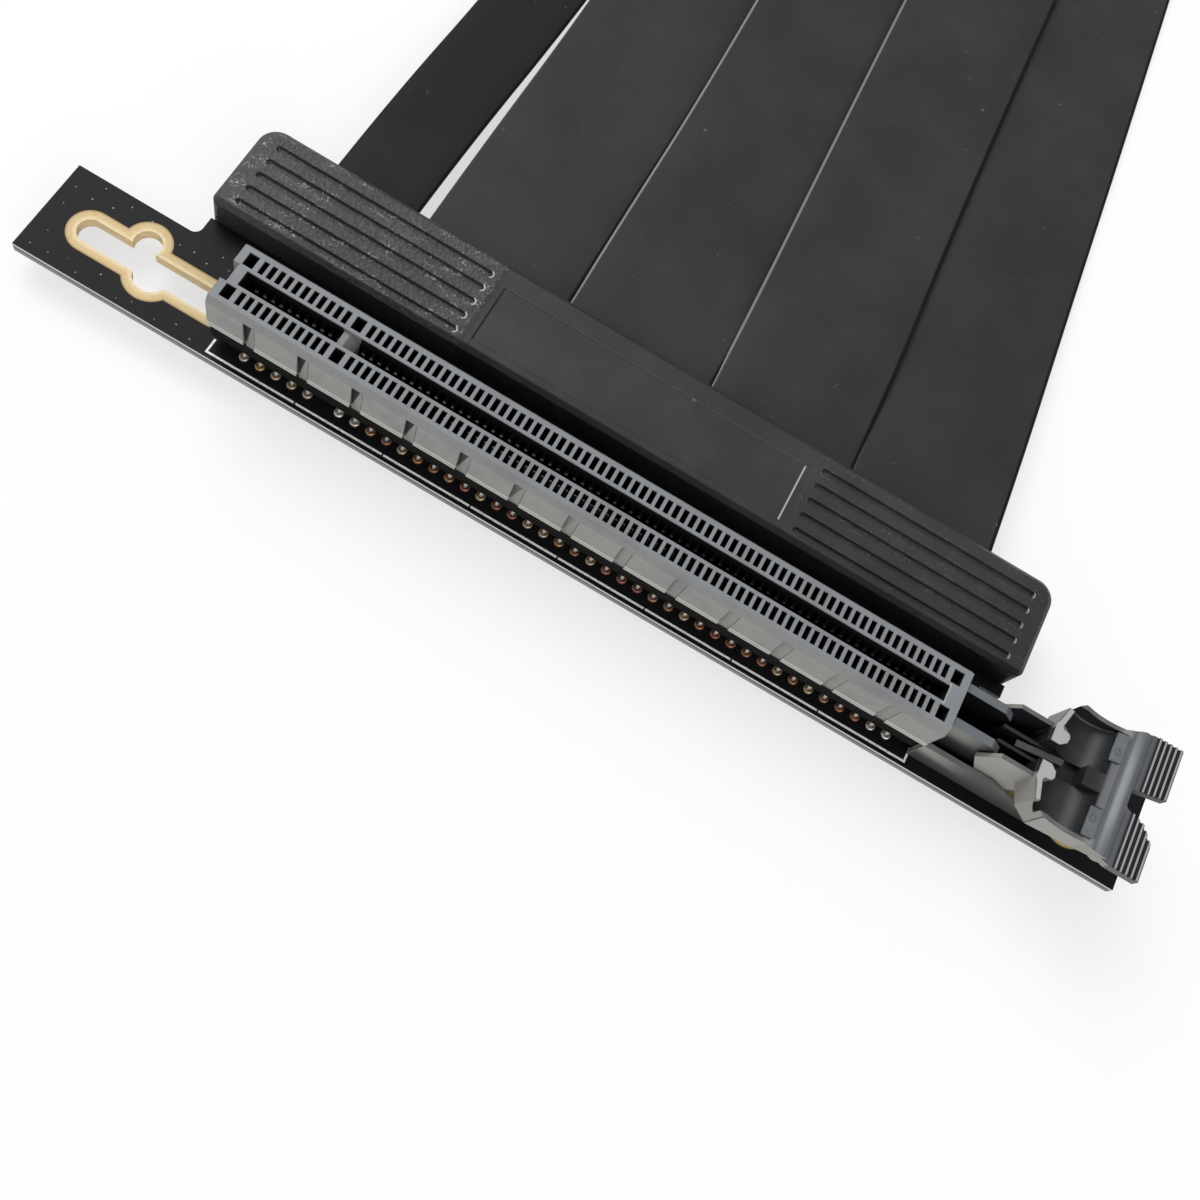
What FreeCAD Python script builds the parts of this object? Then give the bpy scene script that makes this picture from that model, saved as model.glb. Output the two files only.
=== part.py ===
"""Flat x16 extension cable: a card slot with a latch, five ribbons and a card-edge plug.

Frame, in millimetres: X runs along the card slot, Y from the slot towards the plug, Z up.
The origin is the middle of the underside of the slot end's cover.
"""
import FreeCAD, Part
import math
import os
import Sketcher

doc = FreeCAD.newDocument("extension_cable")
sheet = doc.addObject("Spreadsheet::Sheet", "Dims")

SIZES = {
    # Slot board. Lengths to left and right count from the middle of the cover,
    # lengths to front and rear from the centre line of the slot.
    "board_top": 4.5,
    "board_thickness": 1.6,
    "slot_setback": 15.1,
    "board_left": 67.6,
    "board_right": 72.4,
    "tab_front": 5.55,
    "tab_rear": 6.45,
    "neck_overhang": 0.0,
    "tongue_margin": 3.0,
    "tongue_end": 2.5,
    "relief_length": 2.7,
    "relief_width": 1.1,
    "inner_corner_radius": 1.0,
    # Keyhole cut-outs: a long slot with round lobes
    "keyhole_offset": 0.25,
    "keyhole_radius": 1.5,
    "left_keyhole_far": 61.85,
    "left_keyhole_near": 45.6,
    "rear_lobe_place": 56.05,
    "rear_lobe_offset": 2.45,
    "rear_lobe_radius": 1.6,
    "front_lobe_place": 53.55,
    "front_lobe_offset": 0.55,
    "front_lobe_radius": 2.1,
    "right_keyhole_near": 55.0,
    "right_keyhole_far": 66.5,
    "right_lobe_place": 65.0,
    "right_lobe_offset": 0.9,
    # Slot housing. Places along the slot count back from its right end.
    "slot_end": 45.05,
    "housing_length": 89.0,
    "housing_height": 11.25,
    "housing_top_half": 3.5,
    "plate_half": 4.0,
    "plate_bottom": 5.3,
    "plate_top": 10.3,
    "lip_depth": 0.15,
    "lip_height": 0.5,
    "keel_half": 1.45,
    "keel_height": 1.5,
    "ledge_half": 3.5,
    "plate_recess": 0.35,
    "groove_width": 1.3,
    "groove_depth": 0.4,
    "groove_pitch": 6.5,
    "groove_count": 13,
    "first_groove": 83.85,
    "end_notch_depth": 0.7,
    "end_notch_half": 1.2,
    # Card slot and contact cavities
    "slot_width": 1.9,
    "slot_floor": 2.65,
    "short_slot": 11.75,
    "long_slot": 71.75,
    "key_width": 1.8,
    "key_place": 74.5,
    "key_drop": 0.4,
    "key_slope": 1.1,
    "key_slope_drop": 1.6,
    "undercut_floor": 4.6,
    "rib_bottom": 5.2,
    "contact_pitch": 1.0,
    "short_count": 11,
    "long_count": 71,
    "first_contact": 86.0,
    "long_contact": 73.0,
    "cavity_width": 0.6,
    "cavity_inner": 1.35,
    "cavity_depth": 1.6,
    "rim_bottom": 9.8,
    "core_hole_length": 1.2,
    "core_hole_depth": 6.0,
    "left_core_hole": 87.5,
    "right_core_hole": 1.5,
    # Blanked contacts
    "contact_thickness": 0.35,
    "contact_reach": 0.7,
    "contact_play": 0.2,
    "contact_top": 9.6,
    "contact_bow": 8.0,
    "tail_width": 0.4,
    "outer_tail": 3.3,
    "tail_play": 0.1,
    # Guide arms and side walls at the latch end
    "arm_length": 6.1,
    "arm_inner": 1.5,
    "arm_thickness": 1.05,
    "arm_height": 10.8,
    "arm_slope": 1.2,
    "wall_length": 17.0,
    "wall_inner": 3.35,
    "wall_thickness": 0.65,
    "wall_height": 5.0,
    "wall_flat": 8.4,
    "wall_shoulder": 10.9,
    "wall_shoulder_height": 3.5,
    "wall_end_height": 1.4,
    # Latch. Lengths count from the housing's right end.
    "pivot_place": 8.0,
    "pivot_height": 3.2,
    "pivot_radius": 1.0,
    "pivot_play": 0.05,
    "pivot_depth": 0.4,
    "latch_play": 0.1,
    "hub_radius": 2.1,
    "cheek_thickness": 0.5,
    "cheek_start": 4.5,
    "cheek_start_height": 8.0,
    "cheek_crest": 6.0,
    "cheek_crest_height": 11.5,
    "hub_gap": 0.6,
    "pocket_end": 9.8,
    "pocket_floor": 4.6,
    "tower_end": 11.7,
    "tower_height": 12.0,
    "wing_root": 9.9,
    "wing_start": 10.7,
    "wing_start_half": 5.5,
    "wing_half": 6.75,
    "wing_full": 12.3,
    "wing_bottom": 7.2,
    "wing_end": 17.4,
    "wing_end_bottom": 8.4,
    "wing_wall": 0.5,
    "scoop_place": 13.95,
    "scoop_height": 12.7,
    "scoop_radius": 3.3,
    "dip_place": 15.3,
    "dip_height": 17.35,
    "dip_radius": 6.0,
    "channel_half": 1.1,
    "channel_end": 15.0,
    "channel_floor": 8.6,
    "band_place": 19.3,
    "band_height": 11.2,
    "band_radius": 1.25,
    "band_half": 7.35,
    "tab_end": 24.0,
    "tab_half": 7.7,
    "tab_wide": 20.5,
    "tab_top": 11.95,
    "tab_bottom": 10.7,
    "rib_start": 20.95,
    "rib_pitch": 0.64,
    "rib_width": 0.3,
    "rib_height": 0.3,
    "notch_start": 20.0,
    "notch_half": 1.0,
    "notch_mouth_half": 1.9,
    "notch_chamfer": 1.5,
    "nose_half": 0.7,
    "nose_start": 5.6,
    "nose_end": 12.0,
    "nose_point": 1.2,
    "head_neck": 10.85,
    "head_end": 11.95,
    "head_tip_half": 2.6,
    "head_half": 3.3,
    "tongue_tip": 7.6,
    "tongue_root": 12.6,
    "tongue_half": 0.4,
    "tongue_tip_height": 9.2,
    "tongue_root_height": 10.9,
    "tongue_depth": 1.2,
    "nose_height": 9.6,
    # Covers, the same at both ends
    "cover_width": 104.7,
    "cover_depth": 12.0,
    "cover_height": 9.0,
    "cover_corner": 2.3,
    "cover_front_corner": 0.9,
    "cover_edge": 0.6,
    "cover_bevel": 0.6,
    "cover_wall": 1.4,
    "cover_end_wall": 1.8,
    "grip_inner": 21.75,
    "grip_outer": 49.95,
    "grip_first": 4.6,
    "grip_pitch": 2.05,
    "grip_width": 0.75,
    "grip_depth": 0.4,
    "panel_half": 19.8,
    "panel_front": 4.5,
    "panel_rear": 3.0,
    "panel_depth": 0.15,
    # Ribbons
    "ribbon_thickness": 0.9,
    "ribbon_free": 200.0,
    "ribbon_tail": 1.2,
    "ribbon_play": 0.35,
    "ribbon_one_place": -39.05,
    "ribbon_one_width": 10.9,
    "ribbon_two_place": -22.55,
    "ribbon_two_width": 18.9,
    "ribbon_three_place": -3.4,
    "ribbon_three_width": 19.1,
    "ribbon_four_place": 15.9,
    "ribbon_four_width": 19.2,
    "ribbon_five_place": 35.2,
    "ribbon_five_width": 19.1,
    # Stripped wire pairs inside the covers
    "pair_pitch": 2.35,
    "pair_width": 0.9,
    "pair_height": 0.45,
    "pair_overlap": 3.5,
    # Plug board with card edge and contact fingers
    "shoulder_half": 50.0,
    "shoulder_length": 8.0,
    "edge_length": 8.2,
    "edge_short": 11.65,
    "edge_long": 71.65,
    "edge_bevel": 0.4,
    "key_notch": 1.9,
    "finger_width": 0.7,
    "finger_length": 4.6,
    "finger_inset": 0.7,
    "finger_thickness": 0.05,
}

for row, (alias, size) in enumerate(SIZES.items(), start=1):
    sheet.set(f"A{row}", alias)
    sheet.set(f"B{row}", str(size))
    sheet.setAlias(f"B{row}", alias)
doc.recompute()

# Places worked out from the sheet, written as expressions
SLOT_FRAME = {"x": "Dims.slot_end", "y": "-Dims.slot_setback", "z": "Dims.board_top"}
COVER_FRONT = "-Dims.cover_depth / 2"
PLUG_MIDDLE = "Dims.cover_depth + Dims.ribbon_free"
NECK_HALF = "Dims.cover_width / 2 + Dims.neck_overhang"
TONGUE_HALF = "Dims.cover_width / 2 - Dims.tongue_margin"
CAVITY_OUTER = "Dims.cavity_inner + Dims.cavity_depth"
WALL_OUTER = "Dims.wall_inner + Dims.wall_thickness"
CHEEK_OUTER = "Dims.wall_inner - Dims.latch_play"
CHEEK_INNER = f"{CHEEK_OUTER} - Dims.cheek_thickness"
HUB_LEFT = "Dims.arm_length + Dims.hub_gap"
RIBBON_SLIT = "Dims.ribbon_five_place + Dims.ribbon_five_width / 2 + Dims.ribbon_play"
RIBBON_NAMES = ("one", "two", "three", "four", "five")


def value(expression):
    """The number that an expression on the sheet stands for."""
    return float(sheet.evalExpression(expression))


def new_body(label, place=None, turned=False):
    """A named body, with its origin at a place given by expressions, turned about Z or not."""
    body = doc.addObject("PartDesign::Body", label)
    body.Label = label
    if turned:
        body.Placement.Rotation = FreeCAD.Rotation(FreeCAD.Vector(0, 0, 1), 180)
    for axis, expression in (place or {}).items():
        body.setExpression(f"Placement.Base.{axis}", expression)
    return body


def new_sketch(body, name, plane, lift=None):
    """A sketch on one of the body's own origin planes, lifted along the plane's normal."""
    sketch = body.newObject("Sketcher::SketchObject", name)
    support = [item for item in body.Origin.OriginFeatures if item.Role == plane][0]
    sketch.AttachmentSupport = [(support, "")]
    sketch.MapMode = "FlatFace"
    if lift:
        sketch.setExpression("AttachmentOffset.Base.z", lift)
    return sketch


def place_point(sketch, shape, point, across, up):
    """Bind a point of a sketch's geometry to two expressions."""
    for kind, expression in (("DistanceX", across), ("DistanceY", up)):
        start = Sketcher.Constraint(kind, -1, 1, shape, point, value(expression))
        index = sketch.addConstraint(start)
        sketch.setExpression(f"Constraints[{index}]", expression)


def outline(sketch, corners):
    """A closed outline of straight lines through corners given by expressions."""
    points = [FreeCAD.Vector(value(across), value(up), 0) for across, up in corners]
    following = points[1:] + points[:1]
    lines = [sketch.addGeometry(Part.LineSegment(start, end), False)
             for start, end in zip(points, following)]
    for line, after in zip(lines, lines[1:] + lines[:1]):
        sketch.addConstraint(Sketcher.Constraint("Coincident", line, 2, after, 1))
    for line, (across, up) in zip(lines, corners):
        place_point(sketch, line, 1, across, up)


def rectangle(sketch, left, right, low, high):
    """A rectangle between four expressions."""
    outline(sketch, [(left, low), (right, low), (right, high), (left, high)])


def mirrored_rectangles(sketch, left, right, inner, outer):
    """Two equal rectangles on either side of the sketch's first axis."""
    rectangle(sketch, left, right, inner, outer)
    rectangle(sketch, left, right, f"-({outer})", f"-({inner})")


def circle(sketch, across, up, radius):
    """A circle whose centre and radius are expressions."""
    centre = FreeCAD.Vector(value(across), value(up), 0)
    ring = Part.Circle(centre, FreeCAD.Vector(0, 0, 1), value(radius))
    shape = sketch.addGeometry(ring, False)
    place_point(sketch, shape, 3, across, up)
    index = sketch.addConstraint(Sketcher.Constraint("Radius", shape, value(radius)))
    sketch.setExpression(f"Constraints[{index}]", radius)


def oblong(sketch, left, right, up, radius):
    """A round-ended slot between two arc centres on one level."""
    span = FreeCAD.Vector(0, 0, 1)
    reach = FreeCAD.Vector(0, value(radius), 0)
    start = FreeCAD.Vector(value(left), value(up), 0)
    end = FreeCAD.Vector(value(right), value(up), 0)
    quarter = math.pi / 2
    top = sketch.addGeometry(Part.LineSegment(start + reach, end + reach), False)
    right_ring = Part.Circle(end, span, value(radius))
    right_arc = sketch.addGeometry(Part.ArcOfCircle(right_ring, -quarter, quarter), False)
    low = sketch.addGeometry(Part.LineSegment(end - reach, start - reach), False)
    left_ring = Part.Circle(start, span, value(radius))
    left_arc = sketch.addGeometry(Part.ArcOfCircle(left_ring, quarter, 3 * quarter), False)
    for first, first_end, second, second_end in (
        (top, 2, right_arc, 2),
        (right_arc, 1, low, 1),
        (low, 2, left_arc, 2),
        (left_arc, 1, top, 1),
    ):
        sketch.addConstraint(Sketcher.Constraint("Tangent", first, first_end, second, second_end))
    place_point(sketch, left_arc, 3, left, up)
    index = sketch.addConstraint(
        Sketcher.Constraint("DistanceX", -1, 1, right_arc, 3, value(right)))
    sketch.setExpression(f"Constraints[{index}]", right)
    sketch.addConstraint(Sketcher.Constraint("Horizontal", top))
    index = sketch.addConstraint(Sketcher.Constraint("Radius", right_arc, value(radius)))
    sketch.setExpression(f"Constraints[{index}]", radius)


def pad(body, name, sketch, length, middle=False, reverse=False):
    """Add material over a sketch, to one side or evenly to both."""
    feature = body.newObject("PartDesign::Pad", name)
    feature.Profile = sketch
    feature.setExpression("Length", length)
    feature.SideType = "Symmetric" if middle else "One side"
    feature.Reversed = reverse
    doc.recompute()
    return feature


def pocket(body, name, sketch, length=None, middle=False, reverse=False):
    """Cut a sketch out of a body, through all of it where no length is given."""
    before = body.Shape.Volume
    feature = body.newObject("PartDesign::Pocket", name)
    feature.Profile = sketch
    if length:
        feature.Type = "Length"
        feature.setExpression("Length", length)
    else:
        feature.Type = "ThroughAll"
    feature.SideType = "Symmetric" if middle or not length else "One side"
    feature.Reversed = reverse
    doc.recompute()
    if body.Shape.Volume >= before:
        raise RuntimeError(f"{name} cuts nothing")
    return feature


def row_of(body, name, feature, pitch, count):
    """Repeat a feature along X, a named number of times."""
    pattern = body.newObject("PartDesign::LinearPattern", name)
    pattern.Originals = [feature]
    axis = [item for item in body.Origin.OriginFeatures if item.Role == "X_Axis"][0]
    pattern.Direction = (axis, [""])
    pattern.setExpression("Length", f"{pitch} * ({count} - 1)")
    pattern.setExpression("Occurrences", count)
    body.Tip = pattern
    doc.recompute()
    return pattern


def mirror(body, name, feature):
    """Repeat a feature on the other side of the slot's centre plane."""
    copy = body.newObject("PartDesign::Mirrored", name)
    copy.Originals = [feature]
    plane = [item for item in body.Origin.OriginFeatures if item.Role == "XZ_Plane"][0]
    copy.MirrorPlane = (plane, [""])
    body.Tip = copy
    doc.recompute()
    return copy


def picked_edges(body, wanted):
    """The last feature of a body, with the names of the edges that a test picks out."""
    edges = enumerate(body.Tip.Shape.Edges, start=1)
    return body.Tip, [f"Edge{number}" for number, edge in edges if wanted(edge)]


def round_edges(body, name, radius, wanted):
    """Round the edges of a body that a test picks out."""
    base = picked_edges(body, wanted)
    feature = body.newObject("PartDesign::Fillet", name)
    feature.Base = base
    feature.setExpression("Radius", radius)
    doc.recompute()


def bevel_edges(body, name, size, wanted):
    """Bevel the edges of a body that a test picks out."""
    base = picked_edges(body, wanted)
    feature = body.newObject("PartDesign::Chamfer", name)
    feature.Base = base
    feature.setExpression("Size", size)
    doc.recompute()


def runs_up(edge):
    """Tell an upright straight edge from the others."""
    box = edge.BoundBox
    return box.XLength + box.YLength < 1e-6 < box.ZLength


def runs_up_behind(edge):
    """Tell the upright edges at the rear of a cover."""
    return runs_up(edge) and edge.CenterOfMass.y > 0


def runs_up_in_front(edge):
    """Tell the upright edges at the front of a cover."""
    return runs_up(edge) and edge.CenterOfMass.y < 0


def lies_at(edge, height):
    """Tell whether an edge lies flat at a height of its body."""
    box = edge.BoundBox
    return abs(box.ZMin - height) < 1e-6 and abs(box.ZMax - height) < 1e-6


def solid_group(label, solids):
    """Separate equal solids under one name."""
    feature = doc.addObject("Part::Feature", label)
    feature.Label = label
    feature.Shape = Part.makeCompound(solids)
    feature.Placement = FreeCAD.Placement()
    return feature


def block(left, right, front, rear, low, high):
    """A plain box between six numbers."""
    corner = FreeCAD.Vector(left, front, low)
    return Part.makeBox(right - left, rear - front, high - low, corner)


# Slot board: two tabs, a neck and a tongue that reaches into the cover
def build_slot_board():
    """The black board that carries the slot, with its two keyhole cut-outs."""
    body = new_body("slot_board", {"z": "Dims.board_top - Dims.board_thickness"})
    front = "-Dims.slot_setback - Dims.tab_front"
    rear = "-Dims.slot_setback + Dims.tab_rear"
    relief = f"{NECK_HALF} - Dims.relief_length"
    sketch = new_sketch(body, "slot_board_outline", "XY_Plane")
    outline(sketch, [
        ("-Dims.board_left", front),
        ("Dims.board_right", front),
        ("Dims.board_right", rear),
        (relief, rear),
        (relief, f"{rear} + Dims.relief_width"),
        (NECK_HALF, f"{rear} + Dims.relief_width"),
        (NECK_HALF, COVER_FRONT),
        (TONGUE_HALF, COVER_FRONT),
        (TONGUE_HALF, "Dims.tongue_end"),
        (f"-({TONGUE_HALF})", "Dims.tongue_end"),
        (f"-({TONGUE_HALF})", COVER_FRONT),
        (f"-({NECK_HALF})", COVER_FRONT),
        (f"-({NECK_HALF})", rear),
        ("-Dims.board_left", rear),
    ])
    pad(body, "slot_board_plate", sketch, "Dims.board_thickness")

    inner_corner = (-value(NECK_HALF), value(rear))

    def is_inner_corner(edge):
        place = edge.CenterOfMass
        return runs_up(edge) and math.dist((place.x, place.y), inner_corner) < 1e-3

    round_edges(body, "slot_board_corner", "Dims.inner_corner_radius", is_inner_corner)

    axis = "-Dims.slot_setback + Dims.keyhole_offset"
    sketch = new_sketch(body, "keyhole_slots", "XY_Plane")
    oblong(sketch, "-Dims.left_keyhole_far", "-Dims.left_keyhole_near", axis, "Dims.keyhole_radius")
    oblong(sketch, "Dims.right_keyhole_near", "Dims.right_keyhole_far", axis, "Dims.keyhole_radius")
    pocket(body, "keyhole_slot_cuts", sketch)
    lobes = (
        ("rear_lobe", "-Dims.rear_lobe_place", "Dims.rear_lobe_offset", "Dims.rear_lobe_radius"),
        ("front_lobe", "-Dims.front_lobe_place", "-Dims.front_lobe_offset", "Dims.front_lobe_radius"),
        ("right_lobe", "Dims.right_lobe_place", "-Dims.right_lobe_offset", "Dims.front_lobe_radius"),
    )
    for name, across, offset, radius in lobes:
        sketch = new_sketch(body, f"{name}_outline", "XY_Plane")
        circle(sketch, across, f"-Dims.slot_setback + {offset}", radius)
        pocket(body, f"{name}_cut", sketch)
    return body


# Slot housing: a padded profile with cavities, grooves, arms and latch walls
def build_slot_housing():
    """The moulded slot body, in a frame at the right end of the slot on the board."""
    body = new_body("slot_housing", SLOT_FRAME)
    half = [
        ("Dims.keel_half", "0"),
        ("Dims.keel_half", "Dims.keel_height"),
        ("Dims.ledge_half", "Dims.keel_height"),
        ("Dims.ledge_half", "Dims.plate_bottom - Dims.plate_recess"),
        ("Dims.plate_half + Dims.lip_depth", "Dims.plate_bottom"),
        ("Dims.plate_half + Dims.lip_depth", "Dims.plate_bottom + Dims.lip_height"),
        ("Dims.plate_half", "Dims.plate_bottom + Dims.lip_height + Dims.lip_depth"),
        ("Dims.plate_half", "Dims.plate_top"),
        ("Dims.housing_top_half", "Dims.housing_height"),
    ]
    other_half = [(f"-({across})", up) for across, up in reversed(half)]
    sketch = new_sketch(body, "housing_profile", "YZ_Plane")
    outline(sketch, half + other_half)
    pad(body, "housing_bar", sketch, "Dims.housing_length", reverse=True)

    cut_housing_grooves(body)
    cut_card_slot(body)
    cut_contact_cavities(body)
    add_latch_supports(body)
    return body


def cut_housing_grooves(body):
    """Upright grooves that part the side plates, core holes and the notch at the left end."""
    left = "-Dims.first_groove - Dims.groove_width / 2"
    right = "-Dims.first_groove + Dims.groove_width / 2"
    bottom = "Dims.plate_bottom - Dims.plate_recess"
    sketch = new_sketch(body, "plate_groove", "XY_Plane", bottom)
    beyond = "Dims.plate_half + Dims.groove_depth"
    ramp = [
        (left, "Dims.plate_half - Dims.groove_depth"),
        (right, "Dims.plate_half"),
        (right, beyond),
        (left, beyond),
    ]
    outline(sketch, ramp)
    outline(sketch, [(across, f"-({up})") for across, up in ramp])
    depth = f"Dims.plate_top - ({bottom})"
    groove = pocket(body, "plate_groove_cut", sketch, depth, reverse=True)
    row_of(body, "plate_grooves", groove, "Dims.groove_pitch", "Dims.groove_count")

    sketch = new_sketch(body, "core_holes", "XY_Plane", "Dims.housing_height")
    for place in ("Dims.left_core_hole", "Dims.key_place", "Dims.right_core_hole"):
        left = f"-{place} - Dims.core_hole_length / 2"
        right = f"-{place} + Dims.core_hole_length / 2"
        mirrored_rectangles(sketch, left, right, "Dims.cavity_inner", CAVITY_OUTER)
    pocket(body, "core_hole_cuts", sketch, "Dims.core_hole_depth")

    sketch = new_sketch(body, "end_notch", "XY_Plane")
    end = "-Dims.housing_length"
    rectangle(sketch, end, f"{end} + Dims.end_notch_depth", "-Dims.end_notch_half", "Dims.end_notch_half")
    pocket(body, "end_notch_cut", sketch)


def cut_card_slot(body):
    """The long slot for the card's edge, in two lengths with a lower key bar between them."""
    depth = "Dims.housing_height - Dims.slot_floor"
    key_left = "-Dims.key_place - Dims.key_width / 2"
    key_right = "-Dims.key_place + Dims.key_width / 2"
    half = "Dims.slot_width / 2"
    sketch = new_sketch(body, "card_slot", "XY_Plane", "Dims.housing_height")
    rectangle(sketch, f"{key_left} - Dims.short_slot", key_left, f"-{half}", half)
    rectangle(sketch, key_right, f"{key_right} + Dims.long_slot", f"-{half}", half)
    pocket(body, "card_slot_cut", sketch, depth)
    sketch = new_sketch(body, "slot_undercut", "XY_Plane", "Dims.rim_bottom")
    inner = "Dims.cavity_inner"
    rectangle(sketch, f"{key_left} - Dims.short_slot", key_left, f"-{inner}", inner)
    rectangle(sketch, key_right, f"{key_right} + Dims.long_slot", f"-{inner}", inner)
    pocket(body, "slot_undercut_cut", sketch, "Dims.rim_bottom - Dims.undercut_floor")
    sketch = new_sketch(body, "key_bar_top", "XY_Plane", "Dims.housing_height")
    rectangle(sketch, key_left, key_right, f"-{half}", half)
    pocket(body, "key_bar_drop", sketch, "Dims.key_drop")
    crest = "Dims.housing_height - Dims.key_drop"
    sketch = new_sketch(body, "key_bar_side", "XZ_Plane")
    outline(sketch, [
        (f"{key_right} - Dims.key_slope", crest),
        (key_right, crest),
        (key_right, f"{crest} - Dims.key_slope_drop"),
    ])
    pocket(body, "key_bar_slope", sketch, "Dims.slot_width", middle=True)


def cut_contact_cavities(body):
    """One cavity for each contact, open at the top and towards the card, over a channel for the tails."""
    depth = "Dims.housing_height - Dims.rib_bottom"
    for group in ("short", "long"):
        first = {"short": "Dims.first_contact", "long": "Dims.long_contact"}[group]
        left = f"-{first} - Dims.cavity_width / 2"
        right = f"-{first} + Dims.cavity_width / 2"
        sketch = new_sketch(body, f"{group}_cavity", "XY_Plane", "Dims.housing_height")
        mirrored_rectangles(sketch, left, right, "Dims.cavity_inner", CAVITY_OUTER)
        cut = pocket(body, f"{group}_cavity_cut", sketch, depth)
        row_of(body, f"{group}_cavities", cut, "Dims.contact_pitch", f"Dims.{group}_count")
        sketch = new_sketch(body, f"{group}_tail_channel", "XY_Plane", "Dims.rib_bottom")
        last = f"{right} + Dims.contact_pitch * (Dims.{group}_count - 1)"
        mirrored_rectangles(sketch, left, last, "Dims.cavity_inner", CAVITY_OUTER)
        pocket(body, f"{group}_tail_channel_cut", sketch, "Dims.rib_bottom - Dims.keel_height")


def add_latch_supports(body):
    """Two card guide arms and two outer walls with the holes that the latch turns in."""
    sketch = new_sketch(body, "arm_side", "XZ_Plane", "Dims.arm_inner")
    outline(sketch, [
        ("0", "0"),
        ("Dims.arm_length", "0"),
        ("Dims.arm_length", "Dims.arm_height - Dims.arm_slope"),
        ("Dims.arm_length - Dims.arm_slope", "Dims.arm_height"),
        ("0", "Dims.arm_height"),
    ])
    arm = pad(body, "front_arm", sketch, "Dims.arm_thickness")
    mirror(body, "rear_arm", arm)
    sketch = new_sketch(body, "latch_wall_side", "XZ_Plane", "Dims.wall_inner")
    outline(sketch, [
        ("0", "0"),
        ("Dims.wall_length", "0"),
        ("Dims.wall_length", "Dims.wall_end_height"),
        ("Dims.wall_shoulder", "Dims.wall_shoulder_height"),
        ("Dims.wall_flat", "Dims.wall_height"),
        ("0", "Dims.wall_height"),
    ])
    wall = pad(body, "front_latch_wall", sketch, "Dims.wall_thickness")
    mirror(body, "rear_latch_wall", wall)
    sketch = new_sketch(body, "pivot_hole", "XZ_Plane")
    circle(sketch, "Dims.pivot_place", "Dims.pivot_height", "Dims.pivot_radius + Dims.pivot_play")
    pocket(body, "pivot_hole_cut", sketch, "2 * (Dims.wall_inner + Dims.pivot_depth)", middle=True)


# Latch: a lever on two trunnions, with a hook, finger scoops and a ribbed thumb tab
def build_card_latch():
    """The card latch, in the same frame as the slot housing."""
    body = new_body("card_latch", SLOT_FRAME)
    sketch = new_sketch(body, "latch_crown", "XZ_Plane")
    outline(sketch, [
        ("Dims.cheek_start", "Dims.cheek_start_height"),
        ("Dims.cheek_crest", "Dims.cheek_crest_height"),
        ("Dims.wing_root", "Dims.cheek_crest_height"),
        ("Dims.wing_root", "Dims.tower_height"),
        ("Dims.tab_end", "Dims.tab_top"),
        ("Dims.tab_end", "Dims.tab_bottom"),
        ("Dims.band_place", "Dims.tab_bottom"),
        ("Dims.wing_end", "Dims.wing_end_bottom"),
        ("Dims.wing_root", "Dims.wing_bottom"),
    ])
    pad(body, "latch_crown_pad", sketch, "2 * Dims.tab_half", middle=True)
    sketch = new_sketch(body, "thumb_band", "XZ_Plane")
    circle(sketch, "Dims.band_place", "Dims.band_height", "Dims.band_radius")
    pad(body, "thumb_band_pad", sketch, "2 * Dims.band_half", middle=True)
    sketch = new_sketch(body, "thumb_ribs", "XZ_Plane")
    for rib in range(5):
        left = f"Dims.rib_start + {rib} * Dims.rib_pitch"
        low = "Dims.tab_top - Dims.rib_height"
        rectangle(sketch, left, f"{left} + Dims.rib_width", low, "Dims.tab_top + Dims.rib_height")
    pad(body, "thumb_rib_pads", sketch, "2 * Dims.tab_half", middle=True)

    trim_latch_plan(body)
    hollow_latch(body)
    add_latch_stem(body)
    return body


def trim_latch_plan(body):
    """Narrow the lever to its cheeks and wings, and notch the thumb tab."""
    beyond = "Dims.tab_half + Dims.wing_wall"
    side = [
        ("0", CHEEK_OUTER),
        ("Dims.wing_root", CHEEK_OUTER),
        ("Dims.wing_start", "Dims.wing_start_half"),
        ("Dims.wing_full", "Dims.wing_half"),
        ("Dims.wing_end", "Dims.wing_half"),
        ("Dims.band_place", "Dims.band_half"),
        ("Dims.tab_wide", "Dims.tab_half"),
        ("Dims.tab_wide", beyond),
        ("0", beyond),
    ]
    sketch = new_sketch(body, "latch_plan", "XY_Plane")
    outline(sketch, side)
    outline(sketch, [(across, f"-({up})") for across, up in side])
    pocket(body, "latch_plan_cut", sketch)
    sketch = new_sketch(body, "tab_notch", "XY_Plane")
    mouth = "Dims.tab_end + Dims.notch_half"
    outline(sketch, [
        ("Dims.notch_start", "Dims.notch_half"),
        (mouth, "Dims.notch_mouth_half"),
        (mouth, "-Dims.notch_mouth_half - 2 * Dims.notch_chamfer"),
        ("Dims.tab_end - Dims.notch_chamfer", "-Dims.notch_mouth_half"),
        ("Dims.notch_start", "-Dims.notch_half"),
    ])
    pocket(body, "tab_notch_cut", sketch)


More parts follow.
